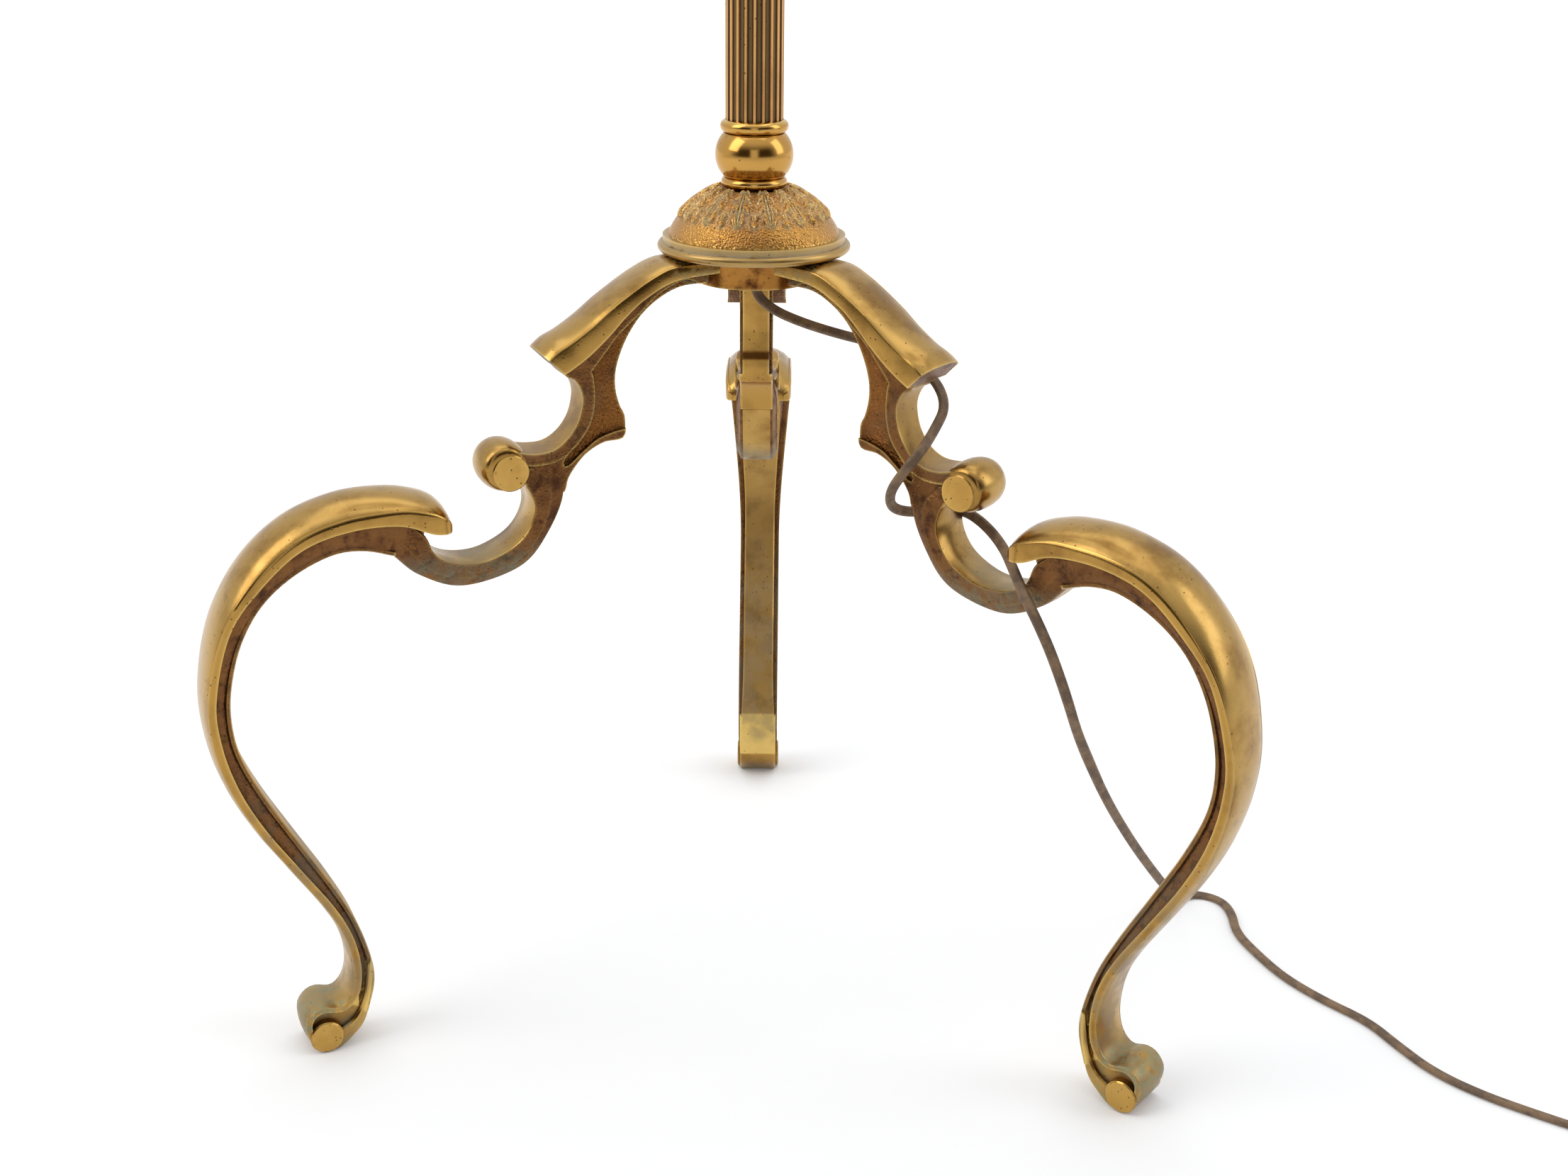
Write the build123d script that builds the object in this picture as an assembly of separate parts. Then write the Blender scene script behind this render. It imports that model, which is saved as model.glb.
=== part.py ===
"""Tripod floor lamp: three cast scroll legs, a turned hub, a fluted column, a lampholder and a shade.

Millimetres, +Z up. The origin is on the floor, on the column's axis. Each leg is drawn in its own
upright plane, r outward from the axis and z above the floor, and is then turned to its azimuth.
"""
from build123d import *
from math import atan2, cos, degrees, hypot, pi, radians, sin, tan
import os

os.makedirs("parts", exist_ok=True)

# ---- driving dimensions ---------------------------------------------------------------------------
LEG_AZIMUTHS = {"left": 203.0, "right": 322.0, "back": 89.0}  # hand-fitted, a few degrees off thirds
LEG_HEIGHT = 393.0          # floor to the top of the drum, where the rim ring rests
LEG_REACH = 212.0           # drum's face to the centre of the foot scroll
HUB_RADIUS = 29.0
HUB_HEIGHT = 14.5
HUB_WALL = 6.0
HUB_PLATE = 3.0

WEB_WIDTH = 18.0            # widths across a leg
TONGUE_WIDTH = 31.0
SCROLL_WIDTH = 23.4
KNUCKLE_WIDTH = 24.0
KNEE_WIDTH = 39.0
CALF_WIDTH = 25.0
CALF_STEP = 1.5             # the narrow core stands out behind the calf's side mouldings
CORE_WIDTH = 19.0
FOOT_WIDTH = 27.0
KNUCKLE_RADIUS = 10.8

LEG_SCREW_DIAMETER = 4.9
LEG_SCREW_HEAD = 8.5
LEG_SCREW_HEAD_HEIGHT = 3.5
LEG_SCREW_GRIP = 11.0       # length inside the leg's root
SCREW_CLEARANCE = 0.1

RIM_RADIUS = 47.6
RIM_STEP = 2.6              # the bead stands out this far from the ring's upper step
RIM_SEAT = 7.0              # ring's bearing on the drum
RIM_BEAD_HEIGHT = 4.8
RIM_STEP_HEIGHT = 3.2
DOME_LEDGE = 2.9            # flat of the rim ring outside the dome
DOME_HEIGHT = 22.6
DOME_CROWN_LEDGE = 0.6      # flat of the dome outside the neck ring
DOME_BULGE = 1.25           # superellipse exponent of the dome's side
DOME_WALL = 3.0

NECK_RING_RADIUS = 16.2
NECK_RING_HEIGHT = 5.6
BALL_RADIUS = 19.2
BALL_NECK_RADIUS = 15.0
BALL_HEIGHT = 20.8
SEAT_LIP = 2.7              # seat ring outside the column
SEAT_RING_HEIGHT = 6.4
SEAT_RECESS = 2.6           # how far the column sinks into its seat ring
SEAT_SPIGOT_HEIGHT = 8.0

COLUMN_DIAMETER = 28.0
COLUMN_WALL = 2.2
COLUMN_LENGTH = 816.0
FLUTE_COUNT = 20
FLUTE_RADIUS = 1.75
FLUTE_DEPTH = 1.15

PIPE_DIAMETER = 10.0
PIPE_WALL = 1.3
PIPE_CLEARANCE = 0.1        # radial, in every bore that the pipe passes
WASHER_RADIUS = 11.0
WASHER_THICKNESS = 1.2
NUT_FLATS = 17.0
NUT_HEIGHT = 4.0
PIPE_TAIL = 0.6             # pipe below the lower nut
BUSHING_COLLAR_HEIGHT = 1.8
BUSHING_SLEEVE = 7.0
FLEX_CLEARANCE = 0.2        # radial, between the bushing and the flex

CUP_RADIUS = 26.0
CUP_HEIGHT = 6.5
CUP_WALL = 1.8
HEAD_NUT_HEIGHT = 4.0
HOLDER_RADIUS = 19.5
HOLDER_WALL = 1.0
CAP_HEIGHT = 25.0
SHELL_LENGTH = 38.0
INSERT_CLEARANCE = 0.3
INSERT_BASE = 13.0
THREAD_GAP = 0.8            # between the bulb's cap and the socket's thread
SOCKET_WALL = 0.5
SOCKET_DEPTH = 22.0
SHADE_NUT_RIM = 5.5         # shade nut outside the lampholder
SHADE_NUT_HEIGHT = 6.0
CARRIER_THICKNESS = 2.0
CARRIER_DROP = 13.0         # carrier's seat below the lampholder's mouth

SPINDLE_RADIUS = 2.2
SPINDLE_CLEARANCE = 0.05
SPINDLE_REACH = 15.5        # out of the cap's side
SPINDLE_HEIGHT = 11.0       # above the cap's foot
SPINDLE_AZIMUTH = 292.0
KEY_LENGTH = 17.0
KEY_THICKNESS = 3.6
KEY_DEPTH = 11.0

BULB_RADIUS = 30.0
BULB_CAP_RADIUS = 13.1
BULB_CAP_LENGTH = 24.0
BULB_NECK_FLARE = 1.5       # glass neck outside the cap
BULB_LENGTH = 80.0
BULB_WALL = 0.8
FILAMENT_RADIUS = 0.8

SHADE_BOTTOM_RADIUS = 225.0
SHADE_TOP_RADIUS = 132.0
SHADE_HEIGHT = 235.0
SHADE_DROP = 22.0           # lower hoop below the carrier
SHADE_CLOTH = 1.6
SHADE_WIRE = 3.2
SHADE_RIBS = 6
SHADE_SPOKES = 3
TRIM_HEIGHT = 12.0
TRIM_THICKNESS = 1.4
HOOP_GAP = 0.35             # between the hoops' wire and the cloth

CORD_DIAMETER = 5.2         # the flat twin flex's width
COIL_CENTRE = (426.6, -228.0)
COIL_ENTRY = 58.0           # where the outer turn takes the flex in, degrees from +X
COIL_LEAVE = 20.0           # where it lets it out again
COIL_RADIUS = 28.6          # middle of the turns
COIL_WALL = 16.2            # three turns side by side
COIL_HEIGHT = 10.8          # two turns high
PLUG_RADIUS = 17.0
PLUG_LENGTH = 28.0
PLUG_NECK_RADIUS = 6.0
PLUG_NECK_LENGTH = 13.0
PIN_RADIUS = 2.4
PIN_LENGTH = 19.0
PIN_SPACING = 19.0
PLUG_SCREW_RADIUS = 2.6

# ---- sizes and heights that follow ------------------------------------------------------------------
RIM_STEP_RADIUS = RIM_RADIUS - RIM_STEP
RIM_BORE_RADIUS = HUB_RADIUS - RIM_SEAT
DOME_RADIUS = RIM_STEP_RADIUS - DOME_LEDGE
DOME_CROWN_RADIUS = NECK_RING_RADIUS + DOME_CROWN_LEDGE
SEAT_RING_RADIUS = COLUMN_DIAMETER / 2 + SEAT_LIP
PIPE_BORE = PIPE_DIAMETER - 2 * PIPE_WALL
INNER_FLEX_DIAMETER = CORD_DIAMETER - 2 * FLEX_CLEARANCE
BUSHING_BORE = CORD_DIAMETER + 2 * FLEX_CLEARANCE
BUSHING_COLLAR_RADIUS = PIPE_DIAMETER / 2 + 0.6
INSERT_RADIUS = HOLDER_RADIUS - 2 * HOLDER_WALL - INSERT_CLEARANCE
SOCKET_RADIUS = BULB_CAP_RADIUS + THREAD_GAP
SHADE_NUT_RADIUS = HOLDER_RADIUS + SHADE_NUT_RIM
BULB_NECK_RADIUS = BULB_CAP_RADIUS + BULB_NECK_FLARE
HUB_BOTTOM = LEG_HEIGHT - HUB_HEIGHT
DOME_FOOT = LEG_HEIGHT + RIM_BEAD_HEIGHT + RIM_STEP_HEIGHT
NECK_FOOT = DOME_FOOT + DOME_HEIGHT
BALL_FOOT = NECK_FOOT + NECK_RING_HEIGHT
SEAT_FOOT = BALL_FOOT + BALL_HEIGHT
COLUMN_FOOT = SEAT_FOOT + SEAT_RING_HEIGHT - SEAT_RECESS
COLUMN_HEAD = COLUMN_FOOT + COLUMN_LENGTH
TOP_SEAT_FOOT = COLUMN_HEAD - SEAT_RECESS
TOP_BALL_FOOT = TOP_SEAT_FOOT + SEAT_RING_HEIGHT
TOP_NECK_FOOT = TOP_BALL_FOOT + BALL_HEIGHT
CUP_FOOT = TOP_NECK_FOOT + NECK_RING_HEIGHT
HEAD_NUT_FOOT = CUP_FOOT + CUP_WALL
CAP_FOOT = HEAD_NUT_FOOT + HEAD_NUT_HEIGHT
SHELL_FOOT = CAP_FOOT + CAP_HEIGHT
HOLDER_MOUTH = SHELL_FOOT + SHELL_LENGTH
CARRIER_Z = HOLDER_MOUTH - CARRIER_DROP
SHADE_FOOT = CARRIER_Z - SHADE_DROP
INSERT_FOOT = SHELL_FOOT + 1.0
SOCKET_FOOT = INSERT_FOOT + INSERT_BASE
BULB_FOOT = SOCKET_FOOT + 1.5
PIPE_BORE_CUT = PIPE_DIAMETER / 2 + PIPE_CLEARANCE
WASHER_FOOT = LEG_HEIGHT - HUB_PLATE - WASHER_THICKNESS
NUT_FOOT = WASHER_FOOT - NUT_HEIGHT
PIPE_FOOT = NUT_FOOT - PIPE_TAIL
PIPE_HEAD = CAP_FOOT + 7.0
CORD_EXIT = PIPE_FOOT - BUSHING_COLLAR_HEIGHT

# ---- a leg's outlines, in its own plane, as drawn for a root at r 29, reach 212 and height 393 ------
DRAWN_ROOT, DRAWN_REACH, DRAWN_HEIGHT = 29.0, 212.0, 393.0
TONGUE_CROWN = [(24, 392.8), (47, 392.6), (59, 388.2), (70.5, 381.6), (82, 374.6), (91.5, 367.6),
                (102, 361.2), (109.5, 357.6), (114.4, 353.2)]
TONGUE_UNDER = [(104.2, 343.0), (96.8, 347.2), (89.9, 352.0), (80.8, 360.0), (72.4, 368.4),
                (62.6, 376.2), (47, 383.6), (24, 386.0)]
WEB_TOP = [(24, 390.5), (48, 389.0), (70, 376.5), (90, 359.0), (100, 350.5)]
THROAT = [(102.5, 341.5), (97.1, 338.0), (93.8, 331.6), (93.7, 324.8), (96.3, 316.3), (102.0, 308.9),
          (109.5, 304.4), (119.0, 304.0), (130.0, 305.8)]
WEB_NOSE = [(104.9, 281.6), (101.4, 289.3), (96.9, 295.7), (91.1, 301.3), (82.7, 305.4), (72.5, 306.9)]
WEB_INNER = [(71.4, 317.1), (73.9, 322.8), (75.9, 331.2), (75.7, 340.0), (72.7, 349.8), (67.7, 359.4),
             (60.6, 368.2), (51.5, 374.9), (41.0, 379.2), (24, 381.2)]
SCROLL_INNER = [(124.5, 290.0), (120.0, 276.0), (127.1, 261.9), (143.4, 253.4), (159.1, 253.4),
                (169.8, 259.2), (173.6, 268.0)]
SCROLL_OUTER = [(206.0, 270.0), (192.6, 263.0), (178.1, 249.4), (156.6, 240.9), (127.6, 247.0),
                (112.6, 263.1), (104.0, 283.5)]
KNEE_CROWN = [(161.8, 272.4), (164.2, 280.0), (172.0, 287.2), (189.5, 292.3), (213.5, 292.0),
              (239.5, 282.8), (261.5, 263.8), (277.0, 236.0), (284.3, 203.6), (283.5, 177.0),
              (276.6, 151.0), (265.5, 126.4)]
KNEE_UNDER = [(262.0, 129.5), (270.2, 153.0), (275.8, 183.4), (275.6, 200.0), (271.6, 217.0),
              (263.4, 235.0), (252.0, 249.6), (236.0, 262.5), (216.0, 271.4), (196.6, 274.2),
              (181.0, 271.6), (170.0, 267.6)]
CORE_FRONT = [(178.0, 270.0), (197.0, 284.0), (222.0, 283.4), (246.0, 271.4), (265.0, 249.4),
              (275.4, 222.0), (279.2, 195.0), (276.0, 164.0), (265.0, 133.0), (249.5, 105.2),
              (234.0, 79.5), (226.2, 61.2), (223.6, 43.5), (226.4, 31.0), (232.6, 23.8)]
CALF_BACK = [(217.2, 18.3), (213.0, 34.0), (213.8, 48.5), (219.9, 70.2), (230.2, 92.4), (244.3, 118.2),
             (259.4, 146.6), (269.3, 171.0), (271.9, 192.0), (269.6, 211.0), (263.6, 229.6),
             (253.1, 245.8), (237.5, 258.2), (219.1, 265.8), (204.1, 265.9), (190.0, 261.5)]
CALF_FRONT = [(283.2, 200.0), (282.8, 180.0), (277.4, 156.0), (266.4, 131.0), (250.6, 103.8),
              (235.0, 78.6), (227.2, 60.6), (224.6, 43.6), (227.0, 31.4), (232.6, 24.6)]
FOOT_ROLL = [(232.6, 24.0), (239.2, 27.0), (245.6, 25.0), (250.2, 18.4), (249.7, 10.6), (246.2, 3.8),
             (241.6, 0)]
FOOT_HEEL = [(233.2, 0), (225.4, 6.0), (217.4, 17.6)]
KNUCKLE_CENTRE = (132.0, 296.0)
ROOT_SCREW_DROP = 7.3       # screw's axis below the drum's top

# ---- the flex's route over the floor and round the right leg ----------------------------------------
LEAD_FROM_HUB = [(0, 0, 371.5), (9.5, -4, 363.5), (24, -9.5, 358.5), (41, -17.5, 355)]
LEAD_ROUND_LEG = [(63, 16.0, 352.5), (82, 17.5, 348), (98, 17.5, 339.5), (107.5, 13, 329),
                  (107, 4, 319), (108.5, -8, 312.5), (104, -17, 302.5), (96.5, -17.5, 291),
                  (92.5, -10, 280.5), (93.5, 4.5, 274.5), (102.5, 15.5, 275), (117, 17.5, 277.5),
                  (133, 12, 274.5), (149, 2.5, 269.5), (162, -9.5, 264.5), (173, -18.5, 258),
                  (183.5, -21, 246), (191, -19, 230.5)]   # r, sideways and z in the right leg's plane
LEAD_TO_FLOOR = [(146.5, -134, 210), (154, -121, 188), (163, -103, 166), (179, -76, 129.5),
                 (201, -40, 87), (223, -3, 48), (236, 24, 25), (244, 40, 11), (250, 54, 4), (263, 60, 2.7),
                 (275, 52.5, 2.7), (278, 37, 2.7), (275.5, 15, 2.7), (282, -8, 2.7), (291, -33, 2.7),
                 (307, -57, 2.7), (325, -77, 2.7), (334, -100, 2.7), (345, -124, 2.7),
                 (363, -144, 2.7), (384, -160, 2.7), (404, -174, 2.7), (424, -184.5, 2.7)]
TAIL_ROUTE = [(464.5, -236, 2.7), (477, -251, 3.4), (494, -256, 6.5), (508, -248, 12),
              (515, -232, 17.05), (517, -215, 17.05)]

solids = {}


# ---- helpers ---------------------------------------------------------------------------------------
def leg_point(point):
    """Scale a drawn (r, z) point to the leg's reach and height."""
    r, z = point
    return (HUB_RADIUS + (r - DRAWN_ROOT) * LEG_REACH / DRAWN_REACH, z * LEG_HEIGHT / DRAWN_HEIGHT)


def outline_face(*stretches):
    """Face in a leg's plane whose edge is a chain of smooth stretches joined by straight lines."""
    edges = []
    chains = [[leg_point(point) for point in stretch] for stretch in stretches]
    for index, chain in enumerate(chains):
        start = chains[(index + 1) % len(chains)][0]
        edges.append(Spline(*chain) if len(chain) > 2 else Line(*chain))
        if hypot(chain[-1][0] - start[0], chain[-1][1] - start[1]) > 1e-6:
            edges.append(Line(chain[-1], start))
    return make_face(edges)


def across(face, width):
    """Solid of a leg's outline, centred on the leg's plane."""
    return extrude(Plane.XZ * face, amount=width / 2, both=True)


def roller(centre, radius, width):
    """Short cylinder across a leg."""
    r, z = leg_point(centre)
    return Pos(r, 0, z) * Rot(90, 0, 0) * Cylinder(radius, width)


def turned(*edges):
    """Solid of revolution of a closed outline drawn as (radius, height)."""
    return revolve(Plane.XZ * make_face(list(edges)), Axis.Z, 360)


def polygon_turned(points):
    """Solid of revolution of a straight-sided outline."""
    return turned(Polyline(*points, close=True))


def tube(outer, inner, foot, height):
    """Plain ring about the axis."""
    return Pos(0, 0, foot + height / 2) * (Cylinder(outer, height) - Cylinder(inner, height + 1))


def bead(outer, bore, foot, height):
    """Turned ring with a half-round edge."""
    flank = outer - height / 2
    head = foot + height
    return turned(Line((bore, foot), (flank, foot)),
                  ThreePointArc((flank, foot), (outer, foot + height / 2), (flank, head)),
                  Line((flank, head), (bore, head)),
                  Line((bore, head), (bore, foot)))


def ball(foot):
    """Turned ball with flat ends, bored for the pipe."""
    head = foot + BALL_HEIGHT
    return turned(Line((PIPE_BORE_CUT, foot), (BALL_NECK_RADIUS, foot)),
                  ThreePointArc((BALL_NECK_RADIUS, foot), (BALL_RADIUS, foot + BALL_HEIGHT / 2),
                                (BALL_NECK_RADIUS, head)),
                  Line((BALL_NECK_RADIUS, head), (PIPE_BORE_CUT, head)),
                  Line((PIPE_BORE_CUT, head), (PIPE_BORE_CUT, foot)))


def hexagon_nut(foot, height):
    """Thin locknut on the pipe."""
    blank = Pos(0, 0, foot) * extrude(RegularPolygon(NUT_FLATS / 2, 6, major_radius=False), height)
    return blank - Pos(0, 0, foot + height / 2) * Cylinder(PIPE_DIAMETER / 2 + 0.02, height + 1)


def wire_between(start, end, diameter):
    """Round bar from one point to another."""
    span = Vector(*end) - Vector(*start)
    plane = Plane(origin=start, z_dir=span)
    return extrude(plane * Circle(diameter / 2), span.length)


def turned_tube_along(points, diameter, name):
    """Round tube along straight runs joined by the largest tangent arcs, and its centreline's length."""
    corners = [Vector(*point) for point in points]
    edges, here, radii = [], corners[0], []
    for before, corner, after in zip(corners, corners[1:], corners[2:]):
        inward, outward = (corner - before).normalized(), (after - corner).normalized()
        turn = radians(inward.get_angle(outward))
        reach = 0.45 * min((corner - before).length, (after - corner).length)
        radius = reach / tan(turn / 2)
        radii.append(round(radius, 1))
        start, end = corner - inward * reach, corner + outward * reach
        bisector = (outward - inward).normalized()
        middle = corner + bisector * (radius / cos(turn / 2) - radius)
        edges += [Line(here, start), ThreePointArc(start, middle, end)]
        here = end
    edges.append(Line(here, corners[-1]))
    path = Wire(edges)
    section = Plane(origin=corners[0], z_dir=corners[1] - corners[0]) * Circle(diameter / 2)
    solid = sweep(section, path=path)
    expected = pi * diameter ** 2 / 4 * path.length
    print(f"{name}: length {path.length:.0f} mm, volume {solid.volume / expected:.4f} of its section's,"
          f" radii {radii}")
    return solid


# ---- base ------------------------------------------------------------------------------------------
def leg_casting():
    """One leg along +X, with its root cut to the drum and a blind hole for its screw."""
    tongue = across(outline_face(TONGUE_CROWN, TONGUE_UNDER), TONGUE_WIDTH)
    web = across(outline_face(WEB_TOP, THROAT, [KNUCKLE_CENTRE, SCROLL_INNER[0]], WEB_NOSE, WEB_INNER),
                 WEB_WIDTH)
    scroll = across(outline_face(SCROLL_INNER, SCROLL_OUTER), SCROLL_WIDTH)
    knee = across(outline_face(KNEE_CROWN, KNEE_UNDER), KNEE_WIDTH)
    core = across(outline_face(CORE_FRONT, CALF_BACK), CORE_WIDTH)
    calf_back = [(r + CALF_STEP, z) for r, z in CALF_BACK[:9]]
    calf = across(outline_face(CALF_FRONT, calf_back), CALF_WIDTH)
    foot = across(outline_face(FOOT_ROLL, FOOT_HEEL), FOOT_WIDTH)
    knuckle = roller(KNUCKLE_CENTRE, KNUCKLE_RADIUS, KNUCKLE_WIDTH)
    casting = web + tongue + scroll + knee + core + calf + foot + knuckle
    casting -= Pos(0, 0, LEG_HEIGHT) * Cylinder(HUB_RADIUS, 4 * HUB_HEIGHT)
    span = 4 * (HUB_RADIUS + LEG_REACH)
    casting &= Pos(0, 0, LEG_HEIGHT / 2) * Box(span, 2 * KNEE_WIDTH, LEG_HEIGHT)
    screw_z = LEG_HEIGHT - ROOT_SCREW_DROP
    hole_depth = LEG_SCREW_GRIP + 1
    hole = Pos(HUB_RADIUS + hole_depth / 2 - 1, 0, screw_z) * Rot(0, 90, 0) * Cylinder(
        LEG_SCREW_DIAMETER / 2 + SCREW_CLEARANCE, hole_depth + 2)
    return casting - hole


def leg_screw():
    """Cheese-head screw from inside the drum into a leg's root, along +X."""
    screw_z = LEG_HEIGHT - ROOT_SCREW_DROP
    wall_face = ((HUB_RADIUS - HUB_WALL) ** 2 - (LEG_SCREW_HEAD / 2) ** 2) ** 0.5
    shank_length = HUB_RADIUS - wall_face + LEG_SCREW_GRIP
    shank = Pos(wall_face + shank_length / 2, 0, screw_z) * Rot(0, 90, 0) * Cylinder(
        LEG_SCREW_DIAMETER / 2, shank_length)
    head = Pos(wall_face - LEG_SCREW_HEAD_HEIGHT / 2, 0, screw_z) * Rot(0, 90, 0) * Cylinder(
        LEG_SCREW_HEAD / 2, LEG_SCREW_HEAD_HEIGHT)
    slot = Pos(wall_face - LEG_SCREW_HEAD_HEIGHT, 0, screw_z) * Box(2, 1.2, LEG_SCREW_HEAD)
    return shank + head - slot


casting = leg_casting()
for name, azimuth in LEG_AZIMUTHS.items():
    solids[f"leg_{name}"] = Rot(0, 0, azimuth) * casting
solids["leg_screws"] = Compound(children=[Rot(0, 0, azimuth) * leg_screw()
                                          for azimuth in LEG_AZIMUTHS.values()])

drum = polygon_turned([(PIPE_BORE_CUT, LEG_HEIGHT), (HUB_RADIUS, LEG_HEIGHT), (HUB_RADIUS, HUB_BOTTOM),
                       (HUB_RADIUS - HUB_WALL, HUB_BOTTOM), (HUB_RADIUS - HUB_WALL, LEG_HEIGHT - HUB_PLATE),
                       (PIPE_BORE_CUT, LEG_HEIGHT - HUB_PLATE)])
for azimuth in LEG_AZIMUTHS.values():
    drum -= Rot(0, 0, azimuth) * Pos(HUB_RADIUS - HUB_WALL / 2, 0, LEG_HEIGHT - ROOT_SCREW_DROP) * Rot(
        0, 90, 0) * Cylinder(LEG_SCREW_DIAMETER / 2 + SCREW_CLEARANCE, HUB_WALL + 2)
solids["hub_drum"] = drum

step_foot = LEG_HEIGHT + RIM_BEAD_HEIGHT
bead_flank = RIM_RADIUS - RIM_BEAD_HEIGHT / 2
solids["rim_ring"] = turned(
    Line((RIM_BORE_RADIUS, LEG_HEIGHT), (bead_flank, LEG_HEIGHT)),
    ThreePointArc((bead_flank, LEG_HEIGHT), (RIM_RADIUS, LEG_HEIGHT + RIM_BEAD_HEIGHT / 2),
                  (bead_flank, step_foot)),
    Line((bead_flank, step_foot), (RIM_STEP_RADIUS, step_foot)),
    Line((RIM_STEP_RADIUS, step_foot), (RIM_STEP_RADIUS, DOME_FOOT)),
    Line((RIM_STEP_RADIUS, DOME_FOOT), (RIM_BORE_RADIUS, DOME_FOOT)),
    Line((RIM_BORE_RADIUS, DOME_FOOT), (RIM_BORE_RADIUS, LEG_HEIGHT)))


def dome_curve(crown, skirt, foot, height):
    """Side of the dome, from its crown down to its skirt."""
    points = []
    for step in range(9):
        share = step / 8
        out = sin(share * pi / 2) ** (2 / DOME_BULGE)
        up = cos(share * pi / 2) ** (2 / DOME_BULGE)
        points.append((crown + (skirt - crown) * out, foot + height * up))
    return points


def dome_blank(crown, skirt, foot, height):
    """Solid of the dome's side down to its flat foot."""
    curve = dome_curve(crown, skirt, foot, height)
    return turned(Line((0, foot + height), curve[0]), Spline(*curve), Line(curve[-1], (0, foot)),
                  Line((0, foot), (0, foot + height)))


dome = dome_blank(DOME_CROWN_RADIUS, DOME_RADIUS, DOME_FOOT, DOME_HEIGHT)
dome -= dome_blank(DOME_CROWN_RADIUS - DOME_WALL, DOME_RADIUS - DOME_WALL, DOME_FOOT,
                   DOME_HEIGHT - DOME_WALL)
solids["dome"] = dome - Pos(0, 0, NECK_FOOT) * Cylinder(PIPE_BORE_CUT, 3 * DOME_WALL)
solids["neck_ring"] = bead(NECK_RING_RADIUS, PIPE_BORE_CUT, NECK_FOOT, NECK_RING_HEIGHT)
solids["ball_collar"] = ball(BALL_FOOT)


def column_seat(foot, upward):
    """Turned seat ring with a recess and a spigot for the column's end."""
    ring = bead(SEAT_RING_RADIUS, PIPE_BORE_CUT, 0, SEAT_RING_HEIGHT)
    recess_foot = SEAT_RING_HEIGHT - SEAT_RECESS
    column_radius = COLUMN_DIAMETER / 2
    ring -= tube(column_radius + 0.1, column_radius - COLUMN_WALL - 0.15, recess_foot, SEAT_RECESS + 1)
    ring += tube(column_radius - COLUMN_WALL - 0.15, PIPE_BORE_CUT, recess_foot, SEAT_SPIGOT_HEIGHT)
    if upward:
        return Pos(0, 0, foot) * ring
    return Pos(0, 0, foot + SEAT_RING_HEIGHT) * Rot(180, 0, 0) * ring


solids["seat_ring"] = column_seat(SEAT_FOOT, True)

# ---- column and tie pipe ---------------------------------------------------------------------------
column_section = Circle(COLUMN_DIAMETER / 2) - Circle(COLUMN_DIAMETER / 2 - COLUMN_WALL)
flute_circle = COLUMN_DIAMETER / 2 - FLUTE_DEPTH + FLUTE_RADIUS
for flute in range(FLUTE_COUNT):
    angle = 2 * pi * (flute + 0.5) / FLUTE_COUNT
    column_section -= Pos(flute_circle * cos(angle), flute_circle * sin(angle)) * Circle(FLUTE_RADIUS)
solids["column"] = Pos(0, 0, COLUMN_FOOT) * extrude(column_section, COLUMN_LENGTH)

solids["centre_pipe"] = tube(PIPE_DIAMETER / 2, PIPE_BORE / 2, PIPE_FOOT, PIPE_HEAD - PIPE_FOOT)
solids["pipe_washer"] = tube(WASHER_RADIUS, PIPE_BORE_CUT, WASHER_FOOT, WASHER_THICKNESS)
solids["pipe_nut"] = hexagon_nut(NUT_FOOT, NUT_HEIGHT)
bushing = tube(BUSHING_COLLAR_RADIUS, BUSHING_BORE / 2, CORD_EXIT, BUSHING_COLLAR_HEIGHT)
bushing += tube(PIPE_BORE / 2 - 0.05, BUSHING_BORE / 2, CORD_EXIT, BUSHING_COLLAR_HEIGHT + BUSHING_SLEEVE)
solids["cord_bushing"] = bushing
solids["inner_flex"] = Pos(0, 0, (CORD_EXIT + PIPE_HEAD + 2) / 2) * Cylinder(
    INNER_FLEX_DIAMETER / 2, PIPE_HEAD + 2 - CORD_EXIT)

# ---- column's head ---------------------------------------------------------------------------------
solids["top_seat_ring"] = column_seat(TOP_SEAT_FOOT, False)
solids["top_ball"] = ball(TOP_BALL_FOOT)
solids["top_neck_ring"] = bead(NECK_RING_RADIUS, PIPE_BORE_CUT, TOP_NECK_FOOT, NECK_RING_HEIGHT)
cup_middle = CUP_RADIUS * 0.72
solids["drip_cup"] = polygon_turned([
    (PIPE_BORE_CUT, CUP_FOOT), (NECK_RING_RADIUS - 1, CUP_FOOT), (cup_middle, CUP_FOOT + CUP_HEIGHT * 0.3),
    (CUP_RADIUS, CUP_FOOT + CUP_HEIGHT), (CUP_RADIUS - CUP_WALL, CUP_FOOT + CUP_HEIGHT),
    (cup_middle - CUP_WALL, CUP_FOOT + CUP_HEIGHT * 0.3 + CUP_WALL), (NECK_RING_RADIUS - 2, CUP_FOOT + CUP_WALL),
    (PIPE_BORE_CUT, CUP_FOOT + CUP_WALL)])
solids["head_nut"] = hexagon_nut(HEAD_NUT_FOOT, HEAD_NUT_HEIGHT)

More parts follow.
